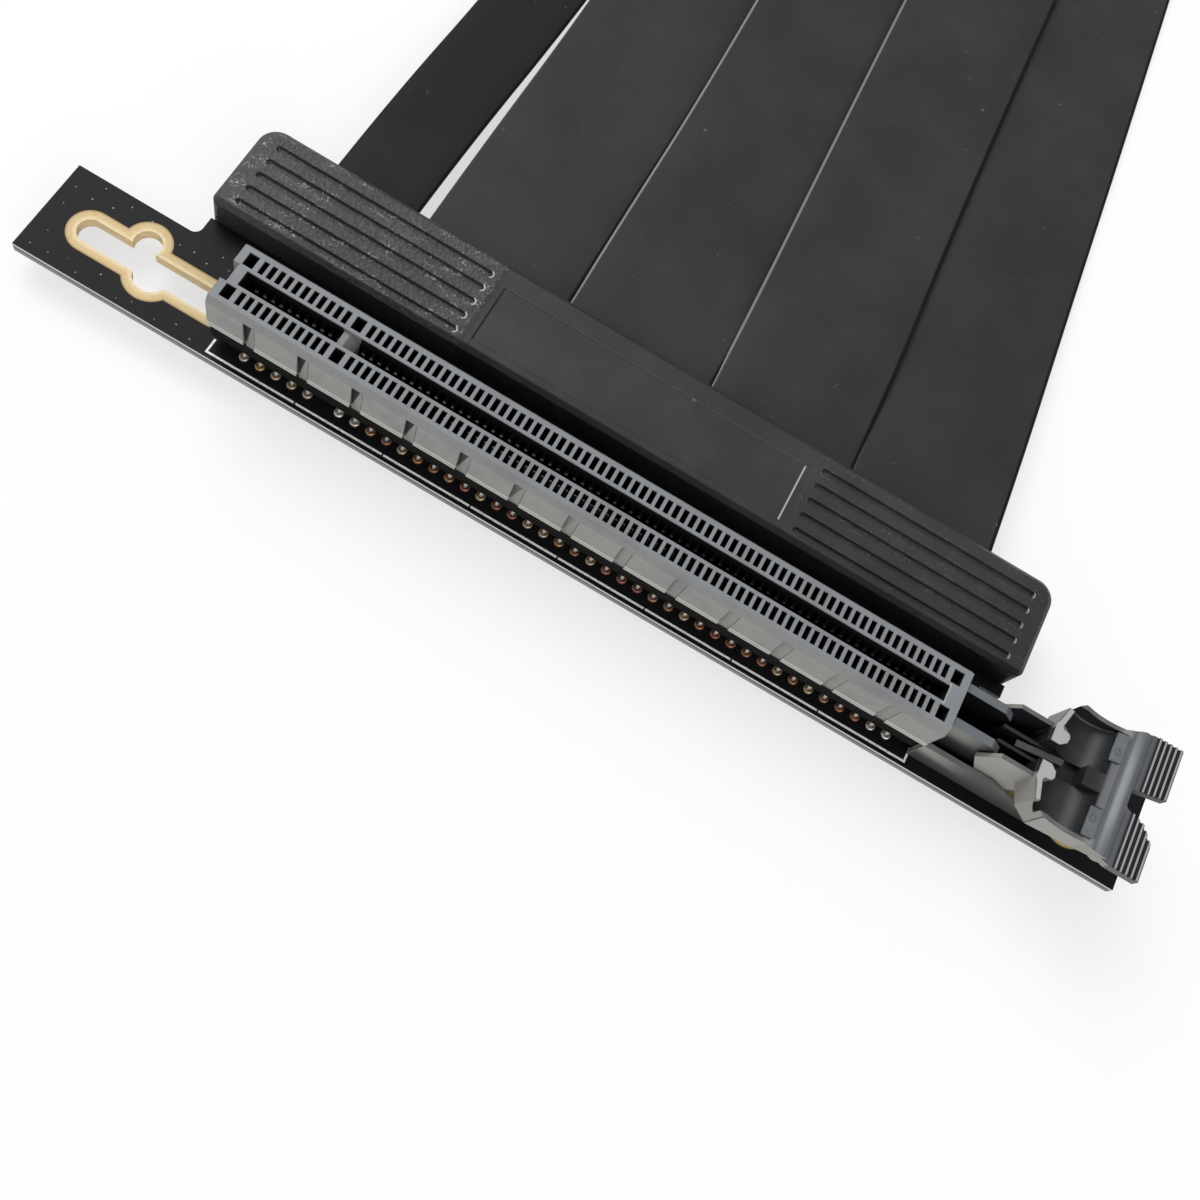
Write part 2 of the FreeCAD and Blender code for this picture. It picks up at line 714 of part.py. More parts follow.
def hollow_latch(body):
    """Pockets for the guide arms, the gap in the hook and the two finger scoops."""
    top = "Dims.tower_height + Dims.band_radius"
    sketch = new_sketch(body, "arm_pocket", "XY_Plane")
    rectangle(sketch, "0", "Dims.pocket_end", f"-({CHEEK_INNER})", CHEEK_INNER)
    pocket(body, "arm_pocket_cut", sketch)
    sketch = new_sketch(body, "hook_gap", "XY_Plane", top)
    rectangle(sketch, "0", "Dims.channel_end", "-Dims.channel_half", "Dims.channel_half")
    pocket(body, "hook_gap_cut", sketch, f"{top} - Dims.channel_floor")
    sketch = new_sketch(body, "rim_dip", "XZ_Plane")
    circle(sketch, "Dims.dip_place", "Dims.dip_height", "Dims.dip_radius")
    pocket(body, "rim_dip_cut", sketch)
    sketch = new_sketch(body, "finger_scoop", "XZ_Plane", "Dims.channel_half")
    circle(sketch, "Dims.scoop_place", "Dims.scoop_height", "Dims.scoop_radius")
    width = "Dims.wing_half - Dims.wing_wall - Dims.channel_half"
    scoop = pocket(body, "front_scoop", sketch, width, reverse=True)
    mirror(body, "rear_scoop", scoop)


def add_latch_stem(body):
    """The stem and trunnions that the lever turns on, and the two noses inside the hook."""
    cheek_outer = f"2 * ({CHEEK_OUTER})"
    sketch = new_sketch(body, "latch_stem", "XZ_Plane")
    outline(sketch, [
        (HUB_LEFT, "Dims.pivot_height"),
        ("Dims.pivot_place + Dims.hub_radius", "Dims.pivot_height"),
        ("Dims.tower_end", "Dims.wing_bottom + Dims.wing_wall"),
        ("Dims.pocket_end", "Dims.wing_bottom + Dims.wing_wall"),
        ("Dims.pocket_end", "Dims.pocket_floor"),
        (HUB_LEFT, "Dims.pocket_floor"),
    ])
    pad(body, "latch_stem_pad", sketch, cheek_outer, middle=True)
    sketch = new_sketch(body, "latch_cheek_foot", "XZ_Plane", CHEEK_INNER)
    outline(sketch, [
        (HUB_LEFT, "Dims.pivot_height"),
        ("Dims.pocket_end", "Dims.pivot_height"),
        ("Dims.pocket_end", "Dims.cheek_crest_height"),
        ("Dims.cheek_crest", "Dims.cheek_crest_height"),
        ("Dims.cheek_start", "Dims.cheek_start_height"),
    ])
    foot = pad(body, "front_cheek_foot", sketch, "Dims.cheek_thickness")
    mirror(body, "rear_cheek_foot", foot)
    sketch = new_sketch(body, "latch_hub", "XZ_Plane")
    circle(sketch, "Dims.pivot_place", "Dims.pivot_height", f"Dims.pivot_place - ({HUB_LEFT})")
    pad(body, "latch_hub_pad", sketch, cheek_outer, middle=True)
    sketch = new_sketch(body, "trunnions", "XZ_Plane")
    circle(sketch, "Dims.pivot_place", "Dims.pivot_height", "Dims.pivot_radius")
    reach = "Dims.wall_inner + Dims.pivot_depth - Dims.pivot_play"
    pad(body, "trunnion_pads", sketch, f"2 * ({reach})", middle=True)
    sketch = new_sketch(body, "noses", "XY_Plane", "Dims.pocket_floor")
    nose = [
        ("Dims.nose_start", "Dims.nose_half"),
        ("Dims.nose_end - Dims.nose_point", "Dims.nose_half"),
        ("Dims.nose_end", "Dims.channel_half"),
        ("Dims.nose_start", "Dims.channel_half"),
    ]
    outline(sketch, nose)
    outline(sketch, [(across, f"-{up}") for across, up in nose])
    pad(body, "nose_pads", sketch, "Dims.nose_height - Dims.pocket_floor")
    add_latch_heads(body)


def add_latch_heads(body):
    """The two hammer heads that stand in the scoops, and the pointed tongue between them."""
    sketch = new_sketch(body, "hammer_heads", "XY_Plane", "Dims.channel_floor")
    head = [
        ("Dims.wing_root", "Dims.channel_half"),
        ("Dims.head_neck", "Dims.channel_half"),
        ("Dims.head_end", "Dims.head_tip_half"),
        ("Dims.head_neck", "Dims.head_half"),
        ("Dims.wing_root", "Dims.head_half"),
    ]
    outline(sketch, head)
    outline(sketch, [(across, f"-{up}") for across, up in head])
    pad(body, "hammer_head_pads", sketch, "Dims.tower_height - Dims.channel_floor")
    sketch = new_sketch(body, "hook_tongue", "XZ_Plane")
    outline(sketch, [
        ("Dims.tongue_tip", "Dims.tongue_tip_height"),
        ("Dims.tongue_root", "Dims.tongue_root_height"),
        ("Dims.tongue_root", "Dims.channel_floor - Dims.tongue_depth"),
        ("Dims.pocket_end", "Dims.channel_floor - Dims.tongue_depth"),
    ])
    pad(body, "hook_tongue_pad", sketch, "2 * Dims.tongue_half", middle=True)


# Covers: an upper and a lower shell that meet at the board's top face
def build_upper_shell(label, place, turned, gripped):
    """The upper half of a cover, with a slit for the ribbons, plain or with grip grooves on top."""
    body = new_body(label, place, turned)
    corner = "Dims.cover_width / 2"
    front = "Dims.cover_depth / 2"
    sketch = new_sketch(body, f"{label}_outline", "XY_Plane", "Dims.board_top")
    rectangle(sketch, f"-{corner}", corner, f"-{front}", front)
    pad(body, f"{label}_block", sketch, "Dims.cover_height - Dims.board_top")
    round_edges(body, f"{label}_corners", "Dims.cover_corner", runs_up_behind)
    round_edges(body, f"{label}_front_corners", "Dims.cover_front_corner", runs_up_in_front)
    top = value("Dims.cover_height")
    bevel_edges(body, f"{label}_edges", "Dims.cover_edge", lambda edge: lies_at(edge, top))

    inner_x = f"{corner} - Dims.cover_end_wall"
    inner_y = f"{front} - Dims.cover_wall"
    sketch = new_sketch(body, f"{label}_cavity", "XY_Plane", "Dims.board_top")
    rectangle(sketch, f"-({inner_x})", inner_x, f"-({inner_y})", inner_y)
    depth = "Dims.cover_height - Dims.board_top - Dims.cover_wall"
    pocket(body, f"{label}_cavity_cut", sketch, depth, reverse=True)
    sketch = new_sketch(body, f"{label}_slit", "XY_Plane", "Dims.board_top")
    rectangle(sketch, f"-({RIBBON_SLIT})", RIBBON_SLIT, inner_y, front)
    pocket(body, f"{label}_slit_cut", sketch, "Dims.ribbon_thickness", reverse=True)
    if gripped:
        cut_grips(body, label)
    return body


def cut_grips(body, label):
    """Five grip grooves towards each end of a cover, and a sunk panel between them."""
    radius = "Dims.grip_width / 2"
    near = f"Dims.grip_inner + {radius}"
    far = f"Dims.grip_outer - {radius}"
    sketch = new_sketch(body, f"{label}_grips", "XY_Plane", "Dims.cover_height")
    for step in range(5):
        level = f"-Dims.grip_first + {step} * Dims.grip_pitch"
        oblong(sketch, near, far, level, radius)
        oblong(sketch, f"-({far})", f"-({near})", level, radius)
    pocket(body, f"{label}_grip_cuts", sketch, "Dims.grip_depth")
    sketch = new_sketch(body, f"{label}_panel", "XY_Plane", "Dims.cover_height")
    rectangle(sketch, "-Dims.panel_half", "Dims.panel_half", "-Dims.panel_front", "Dims.panel_rear")
    pocket(body, f"{label}_panel_cut", sketch, "Dims.panel_depth")


def build_lower_shell(label, place, turned):
    """The lower half of a cover, with a notch that takes the board's tongue."""
    body = new_body(label, place, turned)
    corner = "Dims.cover_width / 2"
    front = "Dims.cover_depth / 2"
    sketch = new_sketch(body, f"{label}_outline", "XY_Plane")
    rectangle(sketch, f"-{corner}", corner, f"-{front}", front)
    pad(body, f"{label}_block", sketch, "Dims.board_top")
    round_edges(body, f"{label}_corners", "Dims.cover_corner", runs_up_behind)
    round_edges(body, f"{label}_front_corners", "Dims.cover_front_corner", runs_up_in_front)
    bevel_edges(body, f"{label}_edges", "Dims.cover_bevel", lambda edge: lies_at(edge, 0))

    inner_x = f"{corner} - Dims.cover_end_wall"
    inner_y = f"{front} - Dims.cover_wall"
    sketch = new_sketch(body, f"{label}_cavity", "XY_Plane", "Dims.board_top")
    rectangle(sketch, f"-({inner_x})", inner_x, f"-({inner_y})", inner_y)
    pocket(body, f"{label}_cavity_cut", sketch, "Dims.board_top - Dims.cover_wall")
    sketch = new_sketch(body, f"{label}_notch", "XY_Plane", "Dims.board_top")
    rectangle(sketch, f"-({TONGUE_HALF})", TONGUE_HALF, f"-{front}", f"-({inner_y})")
    pocket(body, f"{label}_notch_cut", sketch, "Dims.board_thickness")
    return body


# Ribbons: flat strips that leave the cover, lie on the table and rise to the plug
def ribbon_route():
    """The middle line of a ribbon, as points along Y and Z."""
    exit_height = value("Dims.board_top + Dims.ribbon_thickness / 2")
    rest = value("Dims.ribbon_thickness / 2")
    start = value("Dims.cover_depth / 2 - Dims.cover_wall - Dims.ribbon_tail")
    end = value(f"{PLUG_MIDDLE}") - start
    return [
        (start, exit_height),
        (start + 15.0, exit_height),
        (start + 42.0, rest + 0.6),
        (start + 78.0, rest + 0.1),
        (end - 78.0, rest + 0.1),
        (end - 42.0, rest + 0.6),
        (end - 15.0, exit_height),
        (end, exit_height),
    ]


def rounded_path(points):
    """Straight runs joined by tangent arcs as large as the runs allow."""
    corners = [FreeCAD.Vector(0, along, up) for along, up in points]
    edges = []
    start = corners[0]
    for before, corner, after in zip(corners, corners[1:], corners[2:]):
        back = (before - corner).normalize()
        ahead = (after - corner).normalize()
        run = min(before.distanceToPoint(corner), after.distanceToPoint(corner))
        reach = 0.45 * run
        half_turn = (math.pi - back.getAngle(ahead)) / 2
        radius = reach / math.tan(half_turn)
        print(f"ribbon radius {radius:.0f}")
        arc_start = corner + back * reach
        arc_end = corner + ahead * reach
        inward = (back + ahead).normalize()
        middle = corner + inward * (radius / math.cos(half_turn) - radius)
        edges.append(Part.LineSegment(start, arc_start).toShape())
        edges.append(Part.Arc(arc_start, middle, arc_end).toShape())
        start = arc_end
    edges.append(Part.LineSegment(start, corners[-1]).toShape())
    return Part.Wire(edges)


def build_ribbon(number, name):
    """One flat strip swept along the route, at its own place and width."""
    middle = value(f"Dims.ribbon_{name}_place")
    width = value(f"Dims.ribbon_{name}_width")
    thickness = value("Dims.ribbon_thickness")
    points = ribbon_route()
    path = rounded_path(points)
    along, up = points[0]
    corners = [
        FreeCAD.Vector(across, along, up + rise)
        for across, rise in (
            (-width / 2, -thickness / 2),
            (width / 2, -thickness / 2),
            (width / 2, thickness / 2),
            (-width / 2, thickness / 2),
        )
    ]
    section = Part.makePolygon(corners + corners[:1])
    strip = path.makePipeShell([section], True, False)
    if abs(strip.Volume - width * thickness * path.Length) > 0.01 * strip.Volume:
        raise RuntimeError("a ribbon's volume is not its section times its length")
    feature = doc.addObject("Part::Feature", f"ribbon_{number}")
    feature.Label = f"ribbon_{number}"
    feature.Shape = strip
    feature.Placement = FreeCAD.Placement(FreeCAD.Vector(middle, 0, 0), FreeCAD.Rotation())
    return feature


def build_wire_ends(label, near, far):
    """Stripped wire pairs from each ribbon's end, flat on the board, between two places on Y."""
    low = value("Dims.board_top")
    high = low + value("Dims.pair_height")
    pitch = value("Dims.pair_pitch")
    half = value("Dims.pair_width") / 2
    pairs = []
    for name in RIBBON_NAMES:
        middle = value(f"Dims.ribbon_{name}_place")
        count = int(value(f"Dims.ribbon_{name}_width") // pitch)
        first = middle - pitch * (count - 1) / 2
        for step in range(count):
            place = first + step * pitch
            pairs.append(block(place - half, place + half, near, far, low, high))
    return solid_group(label, pairs)


# Contacts of the slot: blanked blades whose tails alternate between two rows
def contact_places():
    """Where the contacts stand along the slot, back from its right end."""
    pitch = value("Dims.contact_pitch")
    short = [-value("Dims.first_contact") + step * pitch for step in range(int(value("Dims.short_count")))]
    long = [-value("Dims.long_contact") + step * pitch for step in range(int(value("Dims.long_count")))]
    return short + long


def build_contacts(label, side):
    """One row of contacts; side is -1 for the front row and 1 for the rear row."""
    back = value(f"{CAVITY_OUTER} - Dims.contact_play")
    top = value("Dims.contact_top")
    reach = value("Dims.contact_reach")
    half_tail = value("Dims.tail_width") / 2
    thickness = value("Dims.contact_thickness")
    bow_height = value("Dims.contact_bow")
    keel = value("Dims.keel_height") - half_tail
    stem = back - 2 * half_tail
    outer_tail = value("Dims.outer_tail")
    outer_blade = [
        (outer_tail - half_tail, 0),
        (outer_tail + half_tail, 0),
        (back, keel),
        (back, top),
        (reach, bow_height),
        (stem, keel),
    ]
    inner_tail = value("Dims.keel_half + Dims.tail_play") + half_tail
    inner_blade = [
        (inner_tail - half_tail, 0),
        (inner_tail + half_tail, 0),
        (back, top),
        (reach, bow_height),
        (value("Dims.cavity_inner + Dims.tail_play"), value("Dims.undercut_floor + Dims.contact_play")),
    ]
    blades = []
    for place in contact_places():
        profile = outer_blade if round(place) % 2 == 1 else inner_blade
        points = [FreeCAD.Vector(place - thickness / 2, side * across, up) for across, up in profile]
        face = Part.Face(Part.makePolygon(points + points[:1]))
        blades.append(face.extrude(FreeCAD.Vector(thickness, 0, 0)))
    row = solid_group(label, blades)
    origin = [value(SLOT_FRAME[axis]) for axis in "xyz"]
    row.Placement = FreeCAD.Placement(FreeCAD.Vector(*origin), FreeCAD.Rotation())
    return row


# Plug: a board with a card edge, a key notch and plated fingers
KEY_X = "Dims.slot_end - Dims.key_place"
PLUG_FACE = f"{PLUG_MIDDLE} + Dims.cover_depth / 2"
PLUG_END = f"{PLUG_FACE} + Dims.shoulder_length + Dims.edge_length"


def build_plug_board():
    """The plug's board: a tongue in the cover, a shoulder and the bevelled card edge."""
    body = new_body("plug_board", {"z": "Dims.board_top - Dims.board_thickness"})
    key_left = f"{KEY_X} - Dims.key_notch / 2"
    key_right = f"{KEY_X} + Dims.key_notch / 2"
    shoulder = f"{PLUG_FACE} + Dims.shoulder_length"
    inner = f"{PLUG_MIDDLE} - Dims.tongue_end"
    left = f"{key_left} - Dims.edge_short"
    right = f"{key_right} + Dims.edge_long"
    sketch = new_sketch(body, "plug_board_outline", "XY_Plane")
    outline(sketch, [
        (f"-({TONGUE_HALF})", inner),
        (TONGUE_HALF, inner),
        (TONGUE_HALF, PLUG_FACE),
        ("Dims.shoulder_half", PLUG_FACE),
        ("Dims.shoulder_half", shoulder),
        (right, shoulder),
        (right, PLUG_END),
        (left, PLUG_END),
        (left, shoulder),
        ("-Dims.shoulder_half", shoulder),
        ("-Dims.shoulder_half", PLUG_FACE),
        (f"-({TONGUE_HALF})", PLUG_FACE),
    ])
    pad(body, "plug_board_plate", sketch, "Dims.board_thickness")
    end = value(PLUG_END)

    def is_card_edge(edge):
        box = edge.BoundBox
        return box.ZLength < 1e-6 and box.YLength < 1e-6 and abs(box.YMin - end) < 1e-6

    bevel_edges(body, "card_edge_bevel", "Dims.edge_bevel", is_card_edge)
    sketch = new_sketch(body, "key_notch_outline", "XY_Plane")
    rectangle(sketch, key_left, key_right, shoulder, PLUG_END)
    pocket(body, "key_notch_cut", sketch)
    return body


def build_fingers(label, low):
    """One face's plated fingers, in line with the slot's contacts, on a face at a height."""
    half = value("Dims.finger_width") / 2
    rear = value(PLUG_END) - value("Dims.finger_inset")
    front = rear - value("Dims.finger_length")
    thickness = value("Dims.finger_thickness")
    slot_end = value("Dims.slot_end")
    places = [slot_end + place for place in contact_places()]
    return solid_group(label, [
        block(place - half, place + half, front, rear, low, low + thickness) for place in places
    ])


def build_all():
    """Every sub-part, in the order of the object from the slot to the plug."""
    plug = {"y": PLUG_MIDDLE}
    ribbon_start = value("Dims.cover_depth / 2 - Dims.cover_wall - Dims.ribbon_tail")
    pair_start = value("Dims.tongue_end - Dims.pair_overlap")
    middle = value(PLUG_MIDDLE)
    board_top = value("Dims.board_top")
    under = board_top - value("Dims.board_thickness + Dims.finger_thickness")
    parts = [
        build_slot_board(),
        build_slot_housing(),
        build_contacts("slot_contacts_front", -1),
        build_contacts("slot_contacts_rear", 1),
        build_card_latch(),
        build_upper_shell("slot_upper_shell", {}, False, True),
        build_lower_shell("slot_lower_shell", {}, False),
        build_wire_ends("slot_wire_ends", pair_start, ribbon_start),
    ]
    for number, name in enumerate(RIBBON_NAMES, start=1):
        parts.append(build_ribbon(number, name))
    parts += [
        build_upper_shell("plug_upper_shell", plug, True, False),
        build_lower_shell("plug_lower_shell", plug, True),
        build_plug_board(),
        build_fingers("plug_fingers_top", board_top),
        build_fingers("plug_fingers_bottom", under),
        build_wire_ends("plug_wire_ends", middle - ribbon_start, middle - pair_start),
    ]
    return parts


def check_document(parts):
    """Stop if any object failed or any sub-part has no sound shape."""
    for item in doc.Objects:
        if "Invalid" in item.State or "Error" in item.State:
            raise RuntimeError(f"{item.Name} failed")
    for part in parts:
        if part.Shape.isNull() or not part.Shape.isValid():
            raise RuntimeError(f"{part.Label} has no sound shape")


def write_parts(parts):
    """Write each sub-part to a file of its own name."""
    os.makedirs("parts", exist_ok=True)
    for part in parts:
        part.Shape.exportStep(f"parts/{part.Label}.step")
        print(part.Label, len(part.Shape.Solids), round(part.Shape.Volume, 1))


all_parts = build_all()
doc.recompute()
check_document(all_parts)
write_parts(all_parts)
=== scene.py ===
"""Looks of a flat x16 extension cable: slot board, card latch, covers, five ribbons and an edge plug.

Lengths are in metres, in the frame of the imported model: X along the card slot, Y from the slot
towards the plug, Z up from the surface that the cable lies on.
"""
import logging
import math
import random
from dataclasses import dataclass
from enum import Enum
from typing import Any, Callable, Iterable, Mapping, Sequence

import bmesh
import bpy
from mathutils import Matrix, Vector


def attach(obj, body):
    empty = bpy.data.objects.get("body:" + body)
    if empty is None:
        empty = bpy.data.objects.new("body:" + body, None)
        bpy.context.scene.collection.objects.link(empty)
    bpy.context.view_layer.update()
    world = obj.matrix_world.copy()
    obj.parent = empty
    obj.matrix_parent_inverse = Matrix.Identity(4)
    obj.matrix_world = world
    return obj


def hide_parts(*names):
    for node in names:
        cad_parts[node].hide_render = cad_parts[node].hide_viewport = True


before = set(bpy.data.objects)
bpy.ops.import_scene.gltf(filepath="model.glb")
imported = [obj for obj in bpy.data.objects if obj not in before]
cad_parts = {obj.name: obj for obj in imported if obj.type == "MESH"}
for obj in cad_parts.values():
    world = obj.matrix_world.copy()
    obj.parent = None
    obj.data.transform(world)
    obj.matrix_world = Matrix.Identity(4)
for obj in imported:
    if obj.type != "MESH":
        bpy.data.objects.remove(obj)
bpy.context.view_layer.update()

log = logging.getLogger("extension_cable")
Piece = bpy.types.Object
Material = bpy.types.Material
Colour = tuple[float, float, float, float]
Point = tuple[float, float, float]
Span = tuple[float, float]  # where an eased value is 0, and where it is 1
MM = 0.001
SLOT_LINE = -15.1 * MM  # Y of the card slot's middle
BOARD_TOP = 4.5 * MM
FIRST_CONTACT = -40.95 * MM
PITCH = 1.0 * MM
WHITE: Colour = (1.0, 1.0, 1.0, 1.0)
DRAWN_LINE: Span = (0.16 * MM, 0.08 * MM)  # half widths of a soft line in a finish
UPRIGHT = 0.9  # cosine past which a face looks along Z, or an edge runs along it
PLUG_NODES = ("plug_upper_shell", "plug_lower_shell", "plug_board", "plug_fingers_top",
              "plug_fingers_bottom", "plug_wire_ends")


def shade(code: str) -> Colour:
    """Turn a screen colour into Blender's linear one.

    Args:
        code: Six hexadecimal digits, as colours are written for a screen.

    Returns:
        Linear red, green and blue, and an alpha of 1.
    """
    parts = [int(code[i:i + 2], 16) / 255 for i in (0, 2, 4)]
    linear = [c / 12.92 if c <= 0.04045 else ((c + 0.055) / 1.055) ** 2.4 for c in parts]
    return (linear[0], linear[1], linear[2], 1.0)


class Body(Enum):
    """The CAD bodies that a piece can ride on."""

    CABLE = "cable"
    LATCH = "latch"


class Slot(Enum):
    """The record's material slots that new pieces take."""

    BOARD = "board"
    LATCH = "latch"
    RIBBON = "ribbon_jacket"
    CONTACT = "contact_metal"


class Side(Enum):
    """The two long sides of the card slot, as the sign of Y."""

    FRONT = -1
    REAR = 1


class Link:
    """A shader socket that takes part in Python arithmetic."""

    def __init__(self, recipe: "Recipe", socket: bpy.types.NodeSocket) -> None:
        """Keep the socket and the recipe that it belongs to."""
        self.recipe = recipe
        self.socket = socket

    def math(self, operation: str, *others: Any) -> "Link":
        """Add a Math node with this socket as its first value."""
        return self.recipe.node("Math", {"operation": operation}, dict(enumerate((self, *others))))

    def _reflected(self, operation: str, first: float) -> "Link":
        """Add a Math node with a plain number as its first value."""
        return self.recipe.node("Math", {"operation": operation}, {0: first, 1: self})

    def __add__(self, other: Any) -> "Link":
        """Sum."""
        return self.math("ADD", other)

    def __sub__(self, other: Any) -> "Link":
        """Difference."""
        return self.math("SUBTRACT", other)

    def __rsub__(self, other: float) -> "Link":
        """Difference from a number."""
        return self._reflected("SUBTRACT", other)

    def __mul__(self, other: Any) -> "Link":
        """Product."""
        return self.math("MULTIPLY", other)

    def __truediv__(self, other: Any) -> "Link":
        """Quotient."""
        return self.math("DIVIDE", other)

    def __rtruediv__(self, other: float) -> "Link":
        """Quotient of a number."""
        return self._reflected("DIVIDE", other)

    def __or__(self, other: Any) -> "Link":
        """The larger one, which joins two masks."""
        return self.math("MAXIMUM", other)

    def __abs__(self) -> "Link":
        """Size without sign."""
        return self.math("ABSOLUTE")

    __radd__, __rmul__, __ror__ = __add__, __mul__, __or__

    def hypot(self, other: "Link") -> "Link":
        """Length of the slanted line whose two sides are this and the other."""
        return (self * self + other * other).math("SQRT")

    def share(self, first: float, pitch: float) -> "Link":
        """Place within a repeated pattern, from -0.5 to 0.5 of its pitch."""
        return ((self - first) / pitch + 0.5).math("FRACT") - 0.5

    def near(self, place: float, far: float, close: float) -> "Link":
        """Fall smoothly from 1 at a close distance from a place to 0 at a far one."""
        return abs(self - place).step(far, close)

    def step(self, low: float, high: float) -> "Link":
        """Rise smoothly from 0 at low to 1 at high, or fall if low is above high.

        Args:
            low: Where the result is 0.
            high: Where the result is 1.

        Returns:
            The eased value.
        """
        settings = {"interpolation_type": "SMOOTHSTEP"}
        if low <= high:
            return self.recipe.node("MapRange", settings, {0: self, 1: low, 2: high})
        return self.recipe.node("MapRange", settings, {0: self, 1: high, 2: low, 3: 1.0, 4: 0.0})


class Recipe:
    """A material's nodes, from a Principled shader to the output."""

    def __init__(self, name: str) -> None:
        """Start a material with a Principled shader.

        Args:
            name: The material's name.
        """
        self.material = bpy.data.materials.new(name)
        self.material.use_nodes = True
        self.tree = self.material.node_tree
        self.tree.nodes.clear()
        self.shader = self.tree.nodes.new("ShaderNodeBsdfPrincipled")
        self.output = self.tree.nodes.new("ShaderNodeOutputMaterial")
        self.tree.links.new(self.shader.outputs[0], self.output.inputs[0])

    def node(self, kind: str, settings: Mapping[str, Any] | None = None,
             values: Mapping[Any, Any] | None = None, out: Any = 0) -> Link:
        """Add one node.

        Args:
            kind: The node's type, without its ShaderNode prefix.
            settings: Properties that are set first, and a ramp's stops.
            values: Values or links of its sockets, by name or number.
            out: The output to return, by name or number.

        Returns:
            The output's link.
        """
        made = self.tree.nodes.new("ShaderNode" + kind)
        for key, setting in (settings or {}).items():
            if key == "stops":
                ramp = made.color_ramp
                while len(ramp.elements) < len(setting):
                    ramp.elements.new(1.0)
                for element, (place, colour) in zip(ramp.elements, setting):
                    element.position, element.color = place, colour
            else:
                setattr(made, key, setting)
        for key, given in (values or {}).items():
            self.put(made.inputs[key], given)
        return Link(self, made.outputs[out])

    def put(self, socket: bpy.types.NodeSocket, given: Any) -> None:
        """Link a socket, or set its value.

        Args:
            socket: The input socket.
            given: A link or a plain value.
        """
        if isinstance(given, Link):
            self.tree.links.new(given.socket, socket)
        else:
            socket.default_value = given

    def set(self, **sockets: Any) -> None:
        """Set or link sockets of the Principled shader, with _ for a space in a name."""
        for key, given in sockets.items():
            self.put(self.shader.inputs[key.replace("_", " ")], given)

    def place(self, scale: Point = (1.0, 1.0, 1.0)) -> Link:
        """Object coordinates through a Mapping node that stretches a pattern along each axis."""
        coordinates = self.node("TexCoord", out="Object")
        return self.node("Mapping", values={"Vector": coordinates, "Scale": scale})

    def along(self, source: Link) -> tuple[Link, Link, Link]:
        """Split a vector.

        Args:
            source: The vector.

        Returns:
            Its three numbers.
        """
        first = self.node("SeparateXYZ", values={0: source})
        outputs = first.socket.node.outputs
        return first, Link(self, outputs[1]), Link(self, outputs[2])

    def facing(self) -> tuple[Link, Link, Link]:
        """Find the way that a face looks.

        Returns:
            Its direction along X, Y and Z of the object's own axes.
        """
        true = self.node("NewGeometry", out="True Normal")
        turned = self.node("VectorTransform", {"vector_type": "NORMAL", "convert_from": "WORLD",
                                               "convert_to": "OBJECT"}, {0: true})
        return self.along(turned)

    def attribute(self, name: str) -> Link:
        """A value that the piece's mesh carries at its points."""
        return self.node("Attribute", {"attribute_name": name}, out="Fac")

    def eased(self, radius: float) -> Link:
        """A normal that rounds sharp edges off."""
        return self.node("Bevel", {"samples": 4}, {"Radius": radius})

    def noise(self, size: float, detail: float = 3.0, rough: float = 0.55, place: Link | None = None) -> Link:
        """Noise whose patches are about the given size.

        Args:
            size: Size of the largest patches, in metres.
            detail: Number of finer layers.
            rough: Share of the finer layers.
            place: Where it is read, if not plain Object coordinates.

        Returns:
            A value around 0.5.
        """
        values = {"Vector": place or self.place(), "Scale": 1 / size, "Detail": detail, "Roughness": rough}
        return self.node("TexNoise", {"noise_dimensions": "3D"}, values)

    def mix(self, share: Any, first: Any, second: Any) -> Link:
        """Mix two colours, with a share from 0 to 1 of the second one."""
        return self.node("Mix", {"data_type": "RGBA"}, {0: share, 6: first, 7: second}, 2)

    def bump(self, height: Link, depth: float, strength: float = 1.0, under: Link | None = None) -> Link:
        """Bump from a height.

        Args:
            height: Height from 0 to 1.
            depth: Real height of 1, in metres.
            strength: How much of the bump shows.
            under: A normal that it is laid on.

        Returns:
            The bent normal.
        """
        values: dict[str, Any] = {"Strength": strength, "Distance": depth, "Height": height}
        if under is not None:
            values["Normal"] = under
        return self.node("Bump", values=values)


class Finish:
    """A material that is laid out from its own fields."""

    name: str

    def lay(self, recipe: Recipe) -> None:
        """Lay the nodes; each finish has its own way."""
        raise NotImplementedError

    def make(self) -> Material:
        """Make the material.

        Returns:
            The material.
        """
        recipe = Recipe(self.name)
        self.lay(recipe)
        return recipe.material


